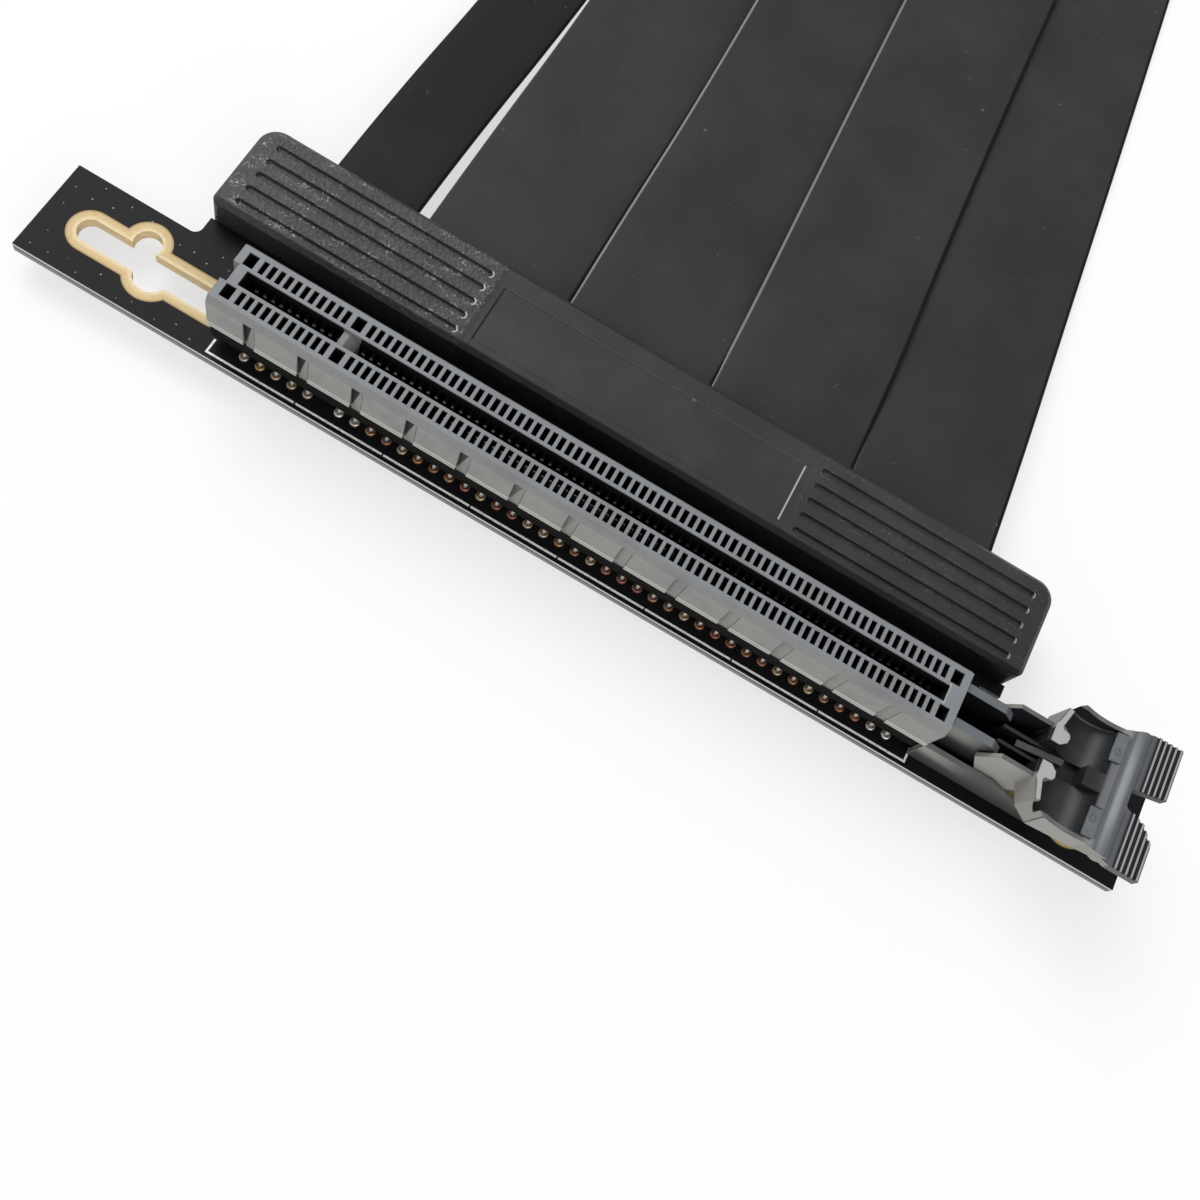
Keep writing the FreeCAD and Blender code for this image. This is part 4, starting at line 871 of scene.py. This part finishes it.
class Bench:
    """Blender's modelling operators, used as by hand."""

    @staticmethod
    def clear() -> None:
        """Leave edit mode and deselect everything."""
        if bpy.context.object is not None and bpy.context.object.mode != "OBJECT":
            bpy.ops.object.mode_set(mode="OBJECT")
        bpy.ops.object.select_all(action="DESELECT")

    @staticmethod
    def hold(obj: Piece) -> None:
        """Select one piece alone and make it the active one.

        Args:
            obj: The piece.
        """
        Bench.clear()
        obj.select_set(True)
        bpy.context.view_layer.objects.active = obj

    @staticmethod
    def add(name: str, data: Any) -> Piece:
        """Put new data into the scene.

        Args:
            name: The new object's name.
            data: Its mesh, curve, lamp or camera.

        Returns:
            The object.
        """
        obj = bpy.data.objects.new(name, data)
        bpy.context.scene.collection.objects.link(obj)
        return obj

    @staticmethod
    def unpicked(verts: bool = False, edges: bool = False, faces: bool = False) -> bmesh.types.BMesh:
        """Choose what is selected in edit mode, and deselect all of it.

        Args:
            verts: If corners are selected.
            edges: If edges are.
            faces: If faces are.

        Returns:
            The mesh in edit mode.
        """
        bpy.context.tool_settings.mesh_select_mode = (verts, edges, faces)
        bpy.ops.mesh.select_all(action="DESELECT")
        return bmesh.from_edit_mesh(bpy.context.object.data)

    @staticmethod
    def pick_faces(test: Callable[[Vector, Vector], bool]) -> None:
        """Select faces in edit mode.

        Args:
            test: Takes a face's middle and its normal, and says if it is wanted.
        """
        for face in Bench.unpicked(faces=True).faces:
            face.select_set(test(face.calc_center_median(), face.normal))
        bmesh.update_edit_mesh(bpy.context.object.data)

    @staticmethod
    def pick_edges(test: Callable[[Vector, Vector], bool]) -> None:
        """Select edges in edit mode.

        Args:
            test: Takes an edge's middle and its direction, and says if it is wanted.
        """
        for edge in Bench.unpicked(edges=True).edges:
            first, second = edge.verts[0].co, edge.verts[1].co
            edge.select_set(test((first + second) / 2, (second - first).normalized()))
        bmesh.update_edit_mesh(bpy.context.object.data)

    @staticmethod
    def sink(inward: float, rise: float) -> None:
        """Inset the selected faces, and move what is inside up or down."""
        bpy.ops.mesh.inset(thickness=inward, depth=0)
        bpy.ops.transform.translate(value=(0, 0, rise))

    @staticmethod
    def outward() -> None:
        """Turn all faces of the mesh in edit mode outwards, and leave edit mode."""
        bpy.ops.mesh.select_all(action="SELECT")
        bpy.ops.mesh.normals_make_consistent(inside=False)
        bpy.ops.object.mode_set(mode="OBJECT")

    @staticmethod
    def modify(kind: str, **settings: Any) -> None:
        """Add a modifier to the active piece and apply it.

        Args:
            kind: The modifier's type.
            settings: Its properties.
        """
        made = bpy.context.object.modifiers.new(kind, kind)
        for key, setting in settings.items():
            setattr(made, key, setting)
        bpy.ops.object.modifier_apply(modifier=made.name)

    @staticmethod
    def settle(obj: Piece, name: str) -> Piece:
        """Put a piece's place into its mesh and name it.

        Args:
            obj: The piece.
            name: Its name.

        Returns:
            The piece.
        """
        Bench.hold(obj)
        bpy.ops.object.transform_apply(location=True, rotation=True, scale=True)
        obj.name = obj.data.name = name
        return obj

    @staticmethod
    def copies(model: Piece, places: Iterable[Matrix], name: str) -> Piece:
        """Copy one modelled shape to many places and join the copies.

        Args:
            model: The shape, at the origin; it is removed afterwards.
            places: Where each copy goes.
            name: The joined piece's name.

        Returns:
            The joined piece.
        """
        made = []
        for place in places:
            copy = Bench.add(name, model.data.copy())
            copy.data.transform(place)
            made.append(copy)
        bpy.data.objects.remove(model)
        return Bench.join(made, name)

    @staticmethod
    def join(pieces: Sequence[Piece], name: str) -> Piece:
        """Join pieces into one with a name.

        Args:
            pieces: The pieces.
            name: The joined piece's name.

        Returns:
            The joined piece.
        """
        Bench.hold(pieces[0])
        for piece in pieces:
            piece.select_set(True)
        bpy.ops.object.join()
        return Bench.settle(pieces[0], name)

    @staticmethod
    def mark(mesh: bpy.types.Mesh, name: str, values: Iterable[float]) -> None:
        """Give each point of a mesh a value that its finish reads.

        Args:
            mesh: The mesh.
            name: The attribute's name.
            values: One value a point, in their order.
        """
        for item, value in zip(mesh.attributes.new(name, "FLOAT", "POINT").data, values):
            item.value = value


@dataclass(frozen=True)
class Turned:
    """A low round shape: a cylinder whose end face is inset and moved in steps.

    A step goes inwards and onwards, in millimetres; the way is 1 for the upper end and -1 for the lower.
    """

    corners: int
    radius: float
    depth: float
    middle: float
    steps: Sequence[tuple[float, float]]
    way: int = 1
    smooth: bool = False

    def model(self) -> Piece:
        """Model the shape.

        Returns:
            The shape, with its axis on Z.
        """
        Bench.clear()
        bpy.ops.mesh.primitive_cylinder_add(vertices=self.corners, radius=self.radius, depth=self.depth,
                                            location=(0, 0, self.middle))
        bpy.ops.object.mode_set(mode="EDIT")
        for inward, onward in self.steps:
            Bench.pick_faces(lambda middle, normal: normal.z * self.way > UPRIGHT
                             and middle.xy.length < self.radius * 0.05)
            Bench.sink(inward * MM, onward * self.way * MM)
        bpy.ops.object.mode_set(mode="OBJECT")
        if self.smooth:
            bpy.ops.object.shade_smooth()
        return Bench.settle(bpy.context.object, "turned")


def dress(obj: Piece, material: Material, body: Body) -> None:
    """Give a new piece its material and the body that it rides on.

    Args:
        obj: The piece.
        material: Its finish.
        body: The CAD body.
    """
    obj.data.materials.clear()
    obj.data.materials.append(material)
    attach(obj, body.value)
    log.info("%s: %d faces", obj.name, len(obj.data.polygons))


def dress_nodes(material: Material, *names: str) -> None:
    """Give CAD nodes a better material through their material slots.

    Args:
        material: The finish.
        names: The nodes.
    """
    for name in names:
        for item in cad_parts[name].material_slots:
            item.material = material
        log.info("%s: dressed as %s", name, material.name)


@dataclass
class Strip:
    """One flat cable, in millimetres and degrees.

    It has a place and a width where it leaves the cover, strays from a straight lay, rolls and lifts
    between the covers, and has its own share of a painted highlight on its left edge and of a darker tone.
    """

    number: int
    place: float
    width: float
    stray: Sequence[float]
    roll: float
    lift: float
    scuff: float
    tone: float = 0.0


@dataclass
class RibbonSet:
    """The five flat cables between the slot end and the plug end.

    The route gives Y and Z in millimetres. A rounded edge is given by shares of its corner inwards and of
    half the thickness upwards, and a flat face by shares of half the width. A strip is held straight for
    some millimetres inside each cover and eases into its roll and lift over some more.
    """

    thickness: float = 0.9 * MM
    route: Sequence[tuple[float, float]] = (
        (3.4, 4.95), (18.4, 4.95), (45.4, 1.05), (81.4, 0.55),
        (130.6, 0.55), (166.6, 1.05), (193.6, 4.95), (208.6, 4.95))
    strips: Sequence[Strip] = (
        Strip(1, -39.05, 10.95, (0, 0.2, 0.7, 1.1, 0.9, 0.4, 0, 0), 0.0, 0.0, 0.1, 0.9),
        Strip(2, -22.55, 19.15, (0, 0, -0.35, -0.8, -1.5, -0.6, 0, 0), 0.0, 0.0, 0.1),
        Strip(3, -3.4, 19.35, (0, -0.1, -0.5, -1.8, -3.2, -1.3, 0, 0), -3.0, 0.0, 1.0),
        Strip(4, 15.9, 19.45, (0, -0.55, -1.7, -3.4, -5.2, -2.2, 0, 0), 0.0, 1.0, 0.9),
        Strip(5, 35.2, 19.15, (0, -1.1, -2.45, -5.7, -10.7, -4.6, -0.1, 0), 0.0, 0.0, 0.1))
    corner: float = 0.9
    turn: Sequence[tuple[float, float]] = (
        (1.0, -1.0), (0.35, -0.86), (0.0, -0.3), (0.0, 0.3), (0.35, 0.86), (1.0, 1.0))
    flat: Sequence[float] = (0.6, 0.2, -0.2, -0.6)
    resolution: int = 24
    held: float = 4.0
    easing: float = 16.0
    smooth_angle: float = 50.0

    def _line(self, strip: Strip) -> list[Vector]:
        """Read the points of the strip's NURBS spline.

        Args:
            strip: The flat cable.

        Returns:
            Points along its centre line.
        """
        curve = bpy.data.curves.new("route", "CURVE")
        curve.dimensions = "3D"
        curve.resolution_u = self.resolution
        spline = curve.splines.new("NURBS")
        spline.points.add(len(self.route) - 1)
        for point, (y, z), aside in zip(spline.points, self.route, strip.stray):
            point.co = ((strip.place + aside) * MM, y * MM, z * MM, 1.0)
        spline.order_u = 3
        spline.use_endpoint_u = True
        holder = Bench.add("route", curve)
        mesh = bpy.data.meshes.new_from_object(holder)
        line = [vertex.co.copy() for vertex in mesh.vertices]
        bpy.data.objects.remove(holder)
        bpy.data.meshes.remove(mesh)
        bpy.data.curves.remove(curve)
        return line

    def _section(self, width: float) -> list[tuple[float, float]]:
        """Outline of the flat cable, anticlockwise seen along it.

        Args:
            width: The strip's width in millimetres.

        Returns:
            Points across and up, in metres.
        """
        half, up = width / 2 * MM, self.thickness / 2
        turns = [(half - inset * up * self.corner, rise * up) for inset, rise in self.turn]
        top = [(half * share, up) for share in self.flat]
        mirrored = [(-x, y) for x, y in reversed(turns)]
        bottom = [(half * share, -up) for share in reversed(self.flat)]
        return turns + top + mirrored + bottom

    def _freed(self, y: float) -> float:
        """How far a strip is free of the covers, so that its edges may rest on the next strips.

        Args:
            y: Place along the cable.

        Returns:
            From 0 in the covers to 1 between them.
        """
        near = min(y / MM - self.route[0][0], self.route[-1][0] - y / MM)
        share = min(max((near - self.held) / self.easing, 0.0), 1.0)
        return share * share * (3 - 2 * share)

    def _strip(self, strip: Strip) -> tuple[Piece, list[Vector]]:
        """Sweep one flat cable along its line.

        Args:
            strip: The flat cable.

        Returns:
            The piece and the points that it follows.
        """
        line = self._line(strip)
        outline = self._section(strip.width)
        count, rings = len(outline), len(line)
        points: list[Vector] = []
        centres: list[Vector] = []
        for i, middle in enumerate(line):
            tangent = (line[min(i + 1, rings - 1)] - line[max(i - 1, 0)]).normalized()
            free = self._freed(middle.y)
            tilt = math.radians(strip.roll) * free
            right = Matrix.Rotation(-tilt, 3, tangent) @ tangent.cross(Vector((0, 0, 1))).normalized()
            upward = right.cross(tangent).normalized()
            raised = math.sin(abs(tilt)) * strip.width / 2 + strip.lift * free
            centre = middle + Vector((0, 0, raised * MM))
            centres.append(centre)
            points += [centre + right * x + upward * y for x, y in outline]
        faces = [(r * count + i, r * count + (i + 1) % count, (r + 1) * count + (i + 1) % count,
                  (r + 1) * count + i) for r in range(rings - 1) for i in range(count)]
        faces += [tuple(reversed(range(count))), tuple((rings - 1) * count + i for i in range(count))]
        mesh = bpy.data.meshes.new(f"flat_cable_{strip.number}")
        mesh.from_pydata([tuple(p) for p in points], [], faces)
        layer = mesh.uv_layers.new(name="lay")
        for loop in mesh.loops:
            ring, i = divmod(loop.vertex_index, count)
            layer.data[loop.index].uv = (outline[i][0] / (strip.width * MM) + 0.5, ring / rings)
        Bench.mark(mesh, "scuff", [strip.scuff] * len(points))
        Bench.mark(mesh, "tone", [strip.tone] * len(points))
        piece = Bench.add(mesh.name, mesh)
        Bench.hold(piece)
        bpy.ops.object.mode_set(mode="EDIT")
        Bench.outward()
        bpy.ops.object.shade_smooth_by_angle(angle=math.radians(self.smooth_angle))
        return piece, centres

    def build(self, jacket: Material, plug_nodes: Sequence[str]) -> None:
        """Args:
            jacket: Their finish.
            plug_nodes: CAD nodes of the plug on their far ends; not used.
        """
        for strip in self.strips:
            piece, centres = self._strip(strip)
            dress(piece, jacket, Body.CABLE)
            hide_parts(f"ribbon_{strip.number}")
            length = sum((b - a).length for a, b in zip(centres, centres[1:]))


@dataclass
class SolderRows:
    """Solder joints round the outer contact tails, and the tail ends under the board.

    Contacts are counted in pitches from the first one; tones run from the hole's painted shade at 0 to bright
    tin's 1.
    """

    board_under: float = 2.9 * MM
    outer_row: float = 3.28 * MM
    inner_row: float = 1.55 * MM
    contacts: Sequence[int] = (*range(11), *range(13, 84))
    outer: Sequence[int] = (*range(1, 10, 2), *range(13, 84, 2))
    joint: Turned = Turned(12, 0.63 * MM, 0.1 * MM, 0.02 * MM,
                           ((0.06, 0.14), (0.12, 0.07), (0.11, -0.06), (0.1, -0.12)), smooth=True)
    tail: Turned = Turned(8, 0.62 * MM, 0.08 * MM, -0.03 * MM,
                          ((0.2, 0.35), (0.16, 0.45), (0.06, 0.3)), way=-1, smooth=True)
    hole: float = 0.25 * MM
    seed: int = 7
    tones: Sequence[tuple[int, float]] = (
        (1, 0.74), (3, 0.5), (5, 0.66), (7, 0.62), (9, 0.72), (13, 0.97), (15, 0.86), (17, 0.42), (19, 0.34),
        (21, 0.62), (23, 0.4), (83, 0.9), (81, 0.8))
    other_tones: Sequence[float] = (0.3, 0.33, 0.36, 0.4, 0.6)
    under_tone: float = 0.92

    def _tones(self, mesh: bpy.types.Mesh, line: float, dice: random.Random) -> list[float]:
        """Choose a tone between copper and tin for each joint, and 0, a painted shade, for its hole.

        Args:
            mesh: The joined joints of one row.
            line: Y of the row.
            dice: Where the tones come from that are not listed.

        Returns:
            The tone of each point.
        """
        tones = dict(self.tones)
        found = []
        for vertex in mesh.vertices:
            number = round((vertex.co.x - FIRST_CONTACT) / PITCH)
            if number not in tones:
                tones[number] = dice.choice(self.other_tones)
            aside = Vector((vertex.co.x - FIRST_CONTACT - number * PITCH, vertex.co.y - line))
            found.append(tones[number] if aside.length > self.hole else 0.0)
        return found

    def build(self, solder: Material) -> None:
        """Build and dress the joints on and under the board.

        Args:
            solder: Their finish.
        """
        dice = random.Random(self.seed)
        under = []
        for side in Side:
            line = SLOT_LINE + side.value * self.outer_row
            places = [Matrix.Translation((FIRST_CONTACT + n * PITCH, line, BOARD_TOP)) for n in self.outer]
            piece = Bench.copies(self.joint.model(), places, f"solder_{side.name.lower()}")
            Bench.mark(piece.data, "tone", self._tones(piece.data, line, dice))
            dress(piece, solder, Body.CABLE)
            for n in self.contacts:
                y = SLOT_LINE + side.value * (self.outer_row if n % 2 else self.inner_row)
                under.append(Matrix.Translation((FIRST_CONTACT + n * PITCH, y, self.board_under)))
        piece = Bench.copies(self.tail.model(), under, "solder_under")
        Bench.mark(piece.data, "tone", [self.under_tone] * len(piece.data.vertices))
        dress(piece, solder, Body.CABLE)


@dataclass
class BoardPrint:
    """Legend lines along the slot, and plated holes scattered on the left tab clear of its keyhole.

    The holes' range of X and Y is in millimetres.
    """

    line_width: float = 0.25 * MM
    ink: float = 0.02 * MM
    ink_share: float = 0.95
    left: float = -43.65 * MM
    right: float = 45.15 * MM
    row: float = 4.95 * MM
    leg: float = 1.6 * MM
    runs: int = 8
    gap: float = 0.45 * MM
    seed: int = 3
    hole: Turned = Turned(8, 0.1 * MM, 0.03 * MM, 0.01 * MM, ((0.05, -0.015),))
    hole_count: int = 24
    hole_x: tuple[float, float] = (-66.6, -45.5)
    hole_y: tuple[float, float] = (-20.2, -9.4)
    hole_apart: float = 1.7 * MM
    keyhole_line: float = -14.85 * MM
    keyhole_half: float = 3.4 * MM
    keyhole_left: float = -65.2 * MM

    def _stroke(self, points: Sequence[tuple[float, float]]) -> Piece:
        """Draw a flat line with square corners by extruding a small plane.

        Args:
            points: X and Y of the line's corners; each run is along X or Y.

        Returns:
            The piece.
        """
        Bench.clear()
        bpy.ops.mesh.primitive_plane_add(size=self.line_width, location=(0, 0, 0))
        bpy.ops.object.mode_set(mode="EDIT")
        bpy.ops.mesh.select_all(action="SELECT")
        tip = Vector((*points[0], BOARD_TOP + self.ink))
        bpy.ops.transform.translate(value=tip)
        for x, y in points[1:]:
            run = Vector((x, y, tip.z)) - tip
            way = run.normalized()
            edge = tip + way * self.line_width / 2
            for part in (run.length - self.line_width, self.line_width):
                Bench.pick_edges(lambda middle, _: (middle - edge).length < self.line_width * 0.1)
                bpy.ops.mesh.extrude_region_move(TRANSFORM_OT_translate={"value": way * part})
                edge = edge + way * part
            tip = tip + run
        Bench.outward()
        piece = bpy.context.object
        below = -1.0 if piece.data.polygons[0].normal.z > 0 else 1.0
        Bench.modify("SOLIDIFY", thickness=self.ink * self.ink_share, offset=below)
        return Bench.settle(piece, "stroke")

    def _legend(self, side: Side) -> Piece:
        """Draw the broken line on one side of the slot, with a leg at each end.

        Args:
            side: The side of the slot.

        Returns:
            The piece.
        """
        row = SLOT_LINE + side.value * self.row
        leg = row - side.value * self.leg
        pitch = (self.right - self.left) / self.runs
        strokes = []
        for run in range(self.runs):
            start = self.left + run * pitch + (self.gap / 2 if run else 0)
            end = self.left + (run + 1) * pitch - (self.gap / 2 if run < self.runs - 1 else 0)
            points = [(start, row), (end, row)]
            if run == 0:
                points.insert(0, (self.left, leg))
            if run == self.runs - 1:
                points.append((self.right, leg))
            strokes.append(self._stroke(points))
        return Bench.join(strokes, f"legend_{side.name.lower()}")

    def _spots(self) -> list[Vector]:
        """Scatter the plated holes.

        Returns:
            Their places.
        """
        dice = random.Random(self.seed)
        spots: list[Vector] = []
        while len(spots) < self.hole_count:
            spot = Vector((dice.uniform(*self.hole_x) * MM, dice.uniform(*self.hole_y) * MM, BOARD_TOP))
            clear = abs(spot.y - self.keyhole_line) > self.keyhole_half or spot.x < self.keyhole_left
            if clear and all((spot - other).length > self.hole_apart for other in spots):
                spots.append(spot)
        return spots

    def build(self, ink: Material, metal: Material) -> None:
        """Build and dress the legend lines and plated holes.

        Args:
            ink: The legend's finish.
            metal: The plated holes' finish.
        """
        for side in Side:
            dress(self._legend(side), ink, Body.CABLE)
        places = [Matrix.Translation(spot) for spot in self._spots()]
        dress(Bench.copies(self.hole.model(), places, "plated_holes"), metal, Body.CABLE)


@dataclass
class LatchMarks:
    """Two small pads with round moulding marks, between the latch's finger scoops and its band."""

    place: float = 62.33 * MM
    height: float = 16.31 * MM
    aside: float = 4.4 * MM
    width: float = 1.31 * MM
    length: float = 3.4 * MM
    depth: float = 0.8 * MM
    slope: float = 0.31
    corner: float = 0.14 * MM
    corner_steps: int = 3
    rim: float = 0.1 * MM
    sunk: float = 0.04 * MM
    mark: Turned = Turned(16, 0.42 * MM, 0.1 * MM, -0.06 * MM, ((0.04, 0.06), (0.09, 0.0), (0.04, -0.1)))
    mark_aside: float = 0.45 * MM

    def _pad(self) -> Piece:
        """Model one pad: a plate with rounded corners and a sunk top.

        Returns:
            The piece, with its top at the origin.
        """
        Bench.clear()
        bpy.ops.mesh.primitive_cube_add(size=1, location=(0, 0, -self.depth / 2),
                                        scale=(self.width, self.length, self.depth))
        bpy.ops.object.transform_apply(location=True, rotation=False, scale=True)
        bpy.ops.object.mode_set(mode="EDIT")
        Bench.pick_edges(lambda _, way: abs(way.z) > UPRIGHT)
        bpy.ops.mesh.bevel(offset=self.corner, segments=self.corner_steps)
        Bench.pick_faces(lambda _, normal: normal.z > UPRIGHT)
        Bench.sink(self.rim, -self.sunk)
        bpy.ops.object.mode_set(mode="OBJECT")
        return bpy.context.object

    def build(self, nylon: Material) -> None:
        """Build and dress the two pads.

        Args:
            nylon: Their finish.
        """
        tilt = Matrix.Rotation(-math.atan(self.slope), 4, "Y")
        pads = []
        for side in Side:
            middle = (self.place, SLOT_LINE + side.value * self.aside, self.height)
            place = Matrix.Translation(middle) @ tilt
            inward = Matrix.Translation((0, -side.value * self.mark_aside, 0))
            pads += [Bench.copies(self._pad(), [place], "pad"),
                     Bench.copies(self.mark.model(), [place @ inward], "mark")]
        dress(Bench.join(pads, "latch_marks"), nylon, Body.LATCH)


@dataclass
class LatchHeads:
    """Rounded tops of the latch's two hammer heads, with the rims of its wings' fronts.

    The outline gives X and the distance from the slot's middle, in millimetres.
    """

    top: float = 16.55 * MM
    depth: float = 1.6 * MM
    soft: float = 0.08 * MM
    soft_steps: int = 2
    outline: Sequence[tuple[float, float]] = (
        (54.97, 1.12), (56.12, 1.1), (56.86, 1.7), (56.97, 2.4), (56.7, 2.82), (55.97, 2.92), (55.83, 3.2),
        (56.38, 5.37), (55.8, 5.47), (55.27, 3.7), (54.97, 3.26))

    def _head(self, side: Side) -> Piece:
        """Model one head: a disc whose corners are moved to its outline, extruded and softened.

        Args:
            side: The side of the card slot that it is on.

        Returns:
            The piece.
        """
        Bench.clear()
        bpy.ops.mesh.primitive_circle_add(vertices=len(self.outline), radius=MM, fill_type="NGON",
                                          location=(0, 0, 0))
        bpy.ops.object.mode_set(mode="EDIT")
        for number, (x, y) in enumerate(self.outline):
            mesh = Bench.unpicked(verts=True)
            mesh.verts.ensure_lookup_table()
            corner = mesh.verts[number]
            corner.select_set(True)
            place = Vector((x * MM, SLOT_LINE + side.value * y * MM, self.top))
            bpy.ops.transform.translate(value=place - corner.co)
        bpy.ops.mesh.select_all(action="SELECT")
        bpy.ops.mesh.extrude_region_move(TRANSFORM_OT_translate={"value": (0, 0, -self.depth)})
        Bench.outward()
        Bench.modify("BEVEL", width=self.soft, segments=self.soft_steps)
        return Bench.settle(bpy.context.object, "head")

    def build(self, nylon: Material) -> None:
        """Build and dress the two heads with their finish."""
        heads = [self._head(side) for side in Side]
        dress(Bench.join(heads, "latch_heads"), nylon, Body.LATCH)


@dataclass(frozen=True)
class PhotoCamera:
    """The photograph's camera, in the pixels of its 1200 by 1200 frame."""

    frame_size: float = 1200.0
    focal: float = 1488.448
    sensor: float = 36.0
    clip: tuple[float, float] = (0.005, 20.0)
    middle: tuple[float, float] = (645.19, 465.55)
    place: Point = (0.33 * MM, -75.04 * MM, 159.0 * MM)
    right: Point = (0.860814, 0.455484, 0.227010)
    down: Point = (0.508442, -0.789023, -0.344861)
    forward: Point = (0.022037, 0.412283, -0.910789)

    def build(self) -> None:
        """Add the camera and make it the scene's own."""
        data = bpy.data.cameras.new("photo_camera")
        data.sensor_width = self.sensor
        data.lens = self.sensor * self.focal / self.frame_size
        data.shift_x = (self.frame_size / 2 - self.middle[0]) / self.frame_size
        data.shift_y = (self.middle[1] - self.frame_size / 2) / self.frame_size
        data.clip_start, data.clip_end = self.clip
        turn = Matrix.Identity(3)
        for i, column in enumerate((Vector(self.right), -Vector(self.down), -Vector(self.forward))):
            turn.col[i] = column
        camera = Bench.add("photo_camera", data)
        camera.matrix_world = Matrix.Translation(self.place) @ turn.to_4x4()
        bpy.context.scene.camera = camera


@dataclass(frozen=True)
class Lamp:
    """A square soft lamp: its name, place, width and power in watts."""

    name: str
    place: Point
    size: float
    power: float

    def build(self, aim: Point) -> None:
        """Hang the lamp.

        Args:
            aim: The point that it faces.
        """
        data = bpy.data.lights.new(self.name, "AREA")
        data.size, data.energy = self.size, self.power
        lamp = Bench.add(self.name, data)
        lamp.location = self.place
        lamp.rotation_euler = (Vector(aim) - Vector(self.place)).to_track_quat("-Z", "Y").to_euler()


@dataclass
class Studio:
    """Pale floor, soft lamps and a plain white surround; the camera sees part of the floor as pure white."""

    floor_size: float = 6.0
    floor_height: float = -0.05 * MM
    floor_grey: float = 0.86
    floor_white: float = 0.66
    surround: float = 0.55
    aim: Point = (0.0, 0.03, 0.0)
    lamps: Sequence[Lamp] = (Lamp("key", (-0.45, 0.35, 0.75), 0.55, 5.5),
                             Lamp("fill", (0.5, -0.55, 0.55), 0.6, 2.6))

    def _floor(self) -> None:
        """Lay a pale floor that keeps the object's shadow and is nearly white to the camera elsewhere."""
        Bench.clear()
        bpy.ops.mesh.primitive_plane_add(size=self.floor_size, location=(0, 0, self.floor_height))
        floor = Bench.settle(bpy.context.object, "floor")
        recipe = Recipe("floor")
        grey = (self.floor_grey, self.floor_grey, self.floor_grey, 1.0)
        recipe.set(Base_Color=grey, Roughness=0.9, Specular_IOR_Level=0.0)
        camera = recipe.node("LightPath", out="Is Camera Ray")
        rays = camera.socket.node.outputs
        seen = camera | Link(recipe, rays["Is Glossy Ray"]) | Link(recipe, rays["Is Transmission Ray"])
        glow = recipe.node("Emission", values={"Color": WHITE, "Strength": 1.0})
        both = recipe.node("MixShader", values={0: seen * self.floor_white,
                                                1: Link(recipe, recipe.shader.outputs[0]), 2: glow})
        recipe.put(recipe.output.inputs[0], both)
        floor.data.materials.append(recipe.material)

    def _surround(self) -> None:
        """Set the world to a plain white light."""
        world = bpy.data.worlds.new("surround")
        bpy.context.scene.world = world
        world.use_nodes = True
        sky = world.node_tree.nodes["Background"]
        sky.inputs["Color"].default_value = WHITE
        sky.inputs["Strength"].default_value = self.surround

    def build(self) -> None:
        """Build the floor, the surround and the lamps."""
        bpy.context.scene.view_settings.view_transform = "Standard"
        self._floor()
        self._surround()
        for lamp in self.lamps:
            lamp.build(self.aim)


NODE_FINISHES: Sequence[tuple[Finish, tuple[str, ...]]] = (
    (PittedCover(), ("slot_upper_shell",)),
    (PittedCover("plain_cover", 0.0), ("slot_lower_shell", "plug_upper_shell", "plug_lower_shell")),
    (MaskedBoard(), ("slot_board", "plug_board")),
    (SlotNylon(), ("slot_housing",)),
    (ContactBronze(), ("slot_contacts_front", "slot_contacts_rear")),
    (Metal("finger_gold", shade("d9b25f"), shade("c79a45"), 0.22),
     ("plug_fingers_top", "plug_fingers_bottom")),
    (Metal("tinned_wire", shade("b9b8b5"), shade("9a9895"), 0.3), ("slot_wire_ends", "plug_wire_ends")))


def main() -> None:
    """Build the studio, the ribbons and the other pieces in order, and dress the CAD nodes."""
    logging.basicConfig(level=logging.INFO, format="%(name)s %(message)s")
    PhotoCamera().build()
    Studio().build()
    RibbonSet().build(RibbonJacket().make(), PLUG_NODES)
    for finish, nodes in NODE_FINISHES:
        dress_nodes(finish.make(), *nodes)
    nylon = LatchNylon().make()
    dress_nodes(nylon, "card_latch")
    pads = LatchNylon("latch_mark", shade("50575a"), shade("5f676a"), band_sheen=shade("565c60")).make()
    LatchMarks().build(pads)
    LatchHeads().build(nylon)
    SolderRows().build(SolderMetal().make())
    plating = Metal("hole_plating", shade("90908c"), shade("30302e"), 0.4).make()
    BoardPrint().build(ScreenInk().make(), plating)


if __name__ == "__main__":
    main()
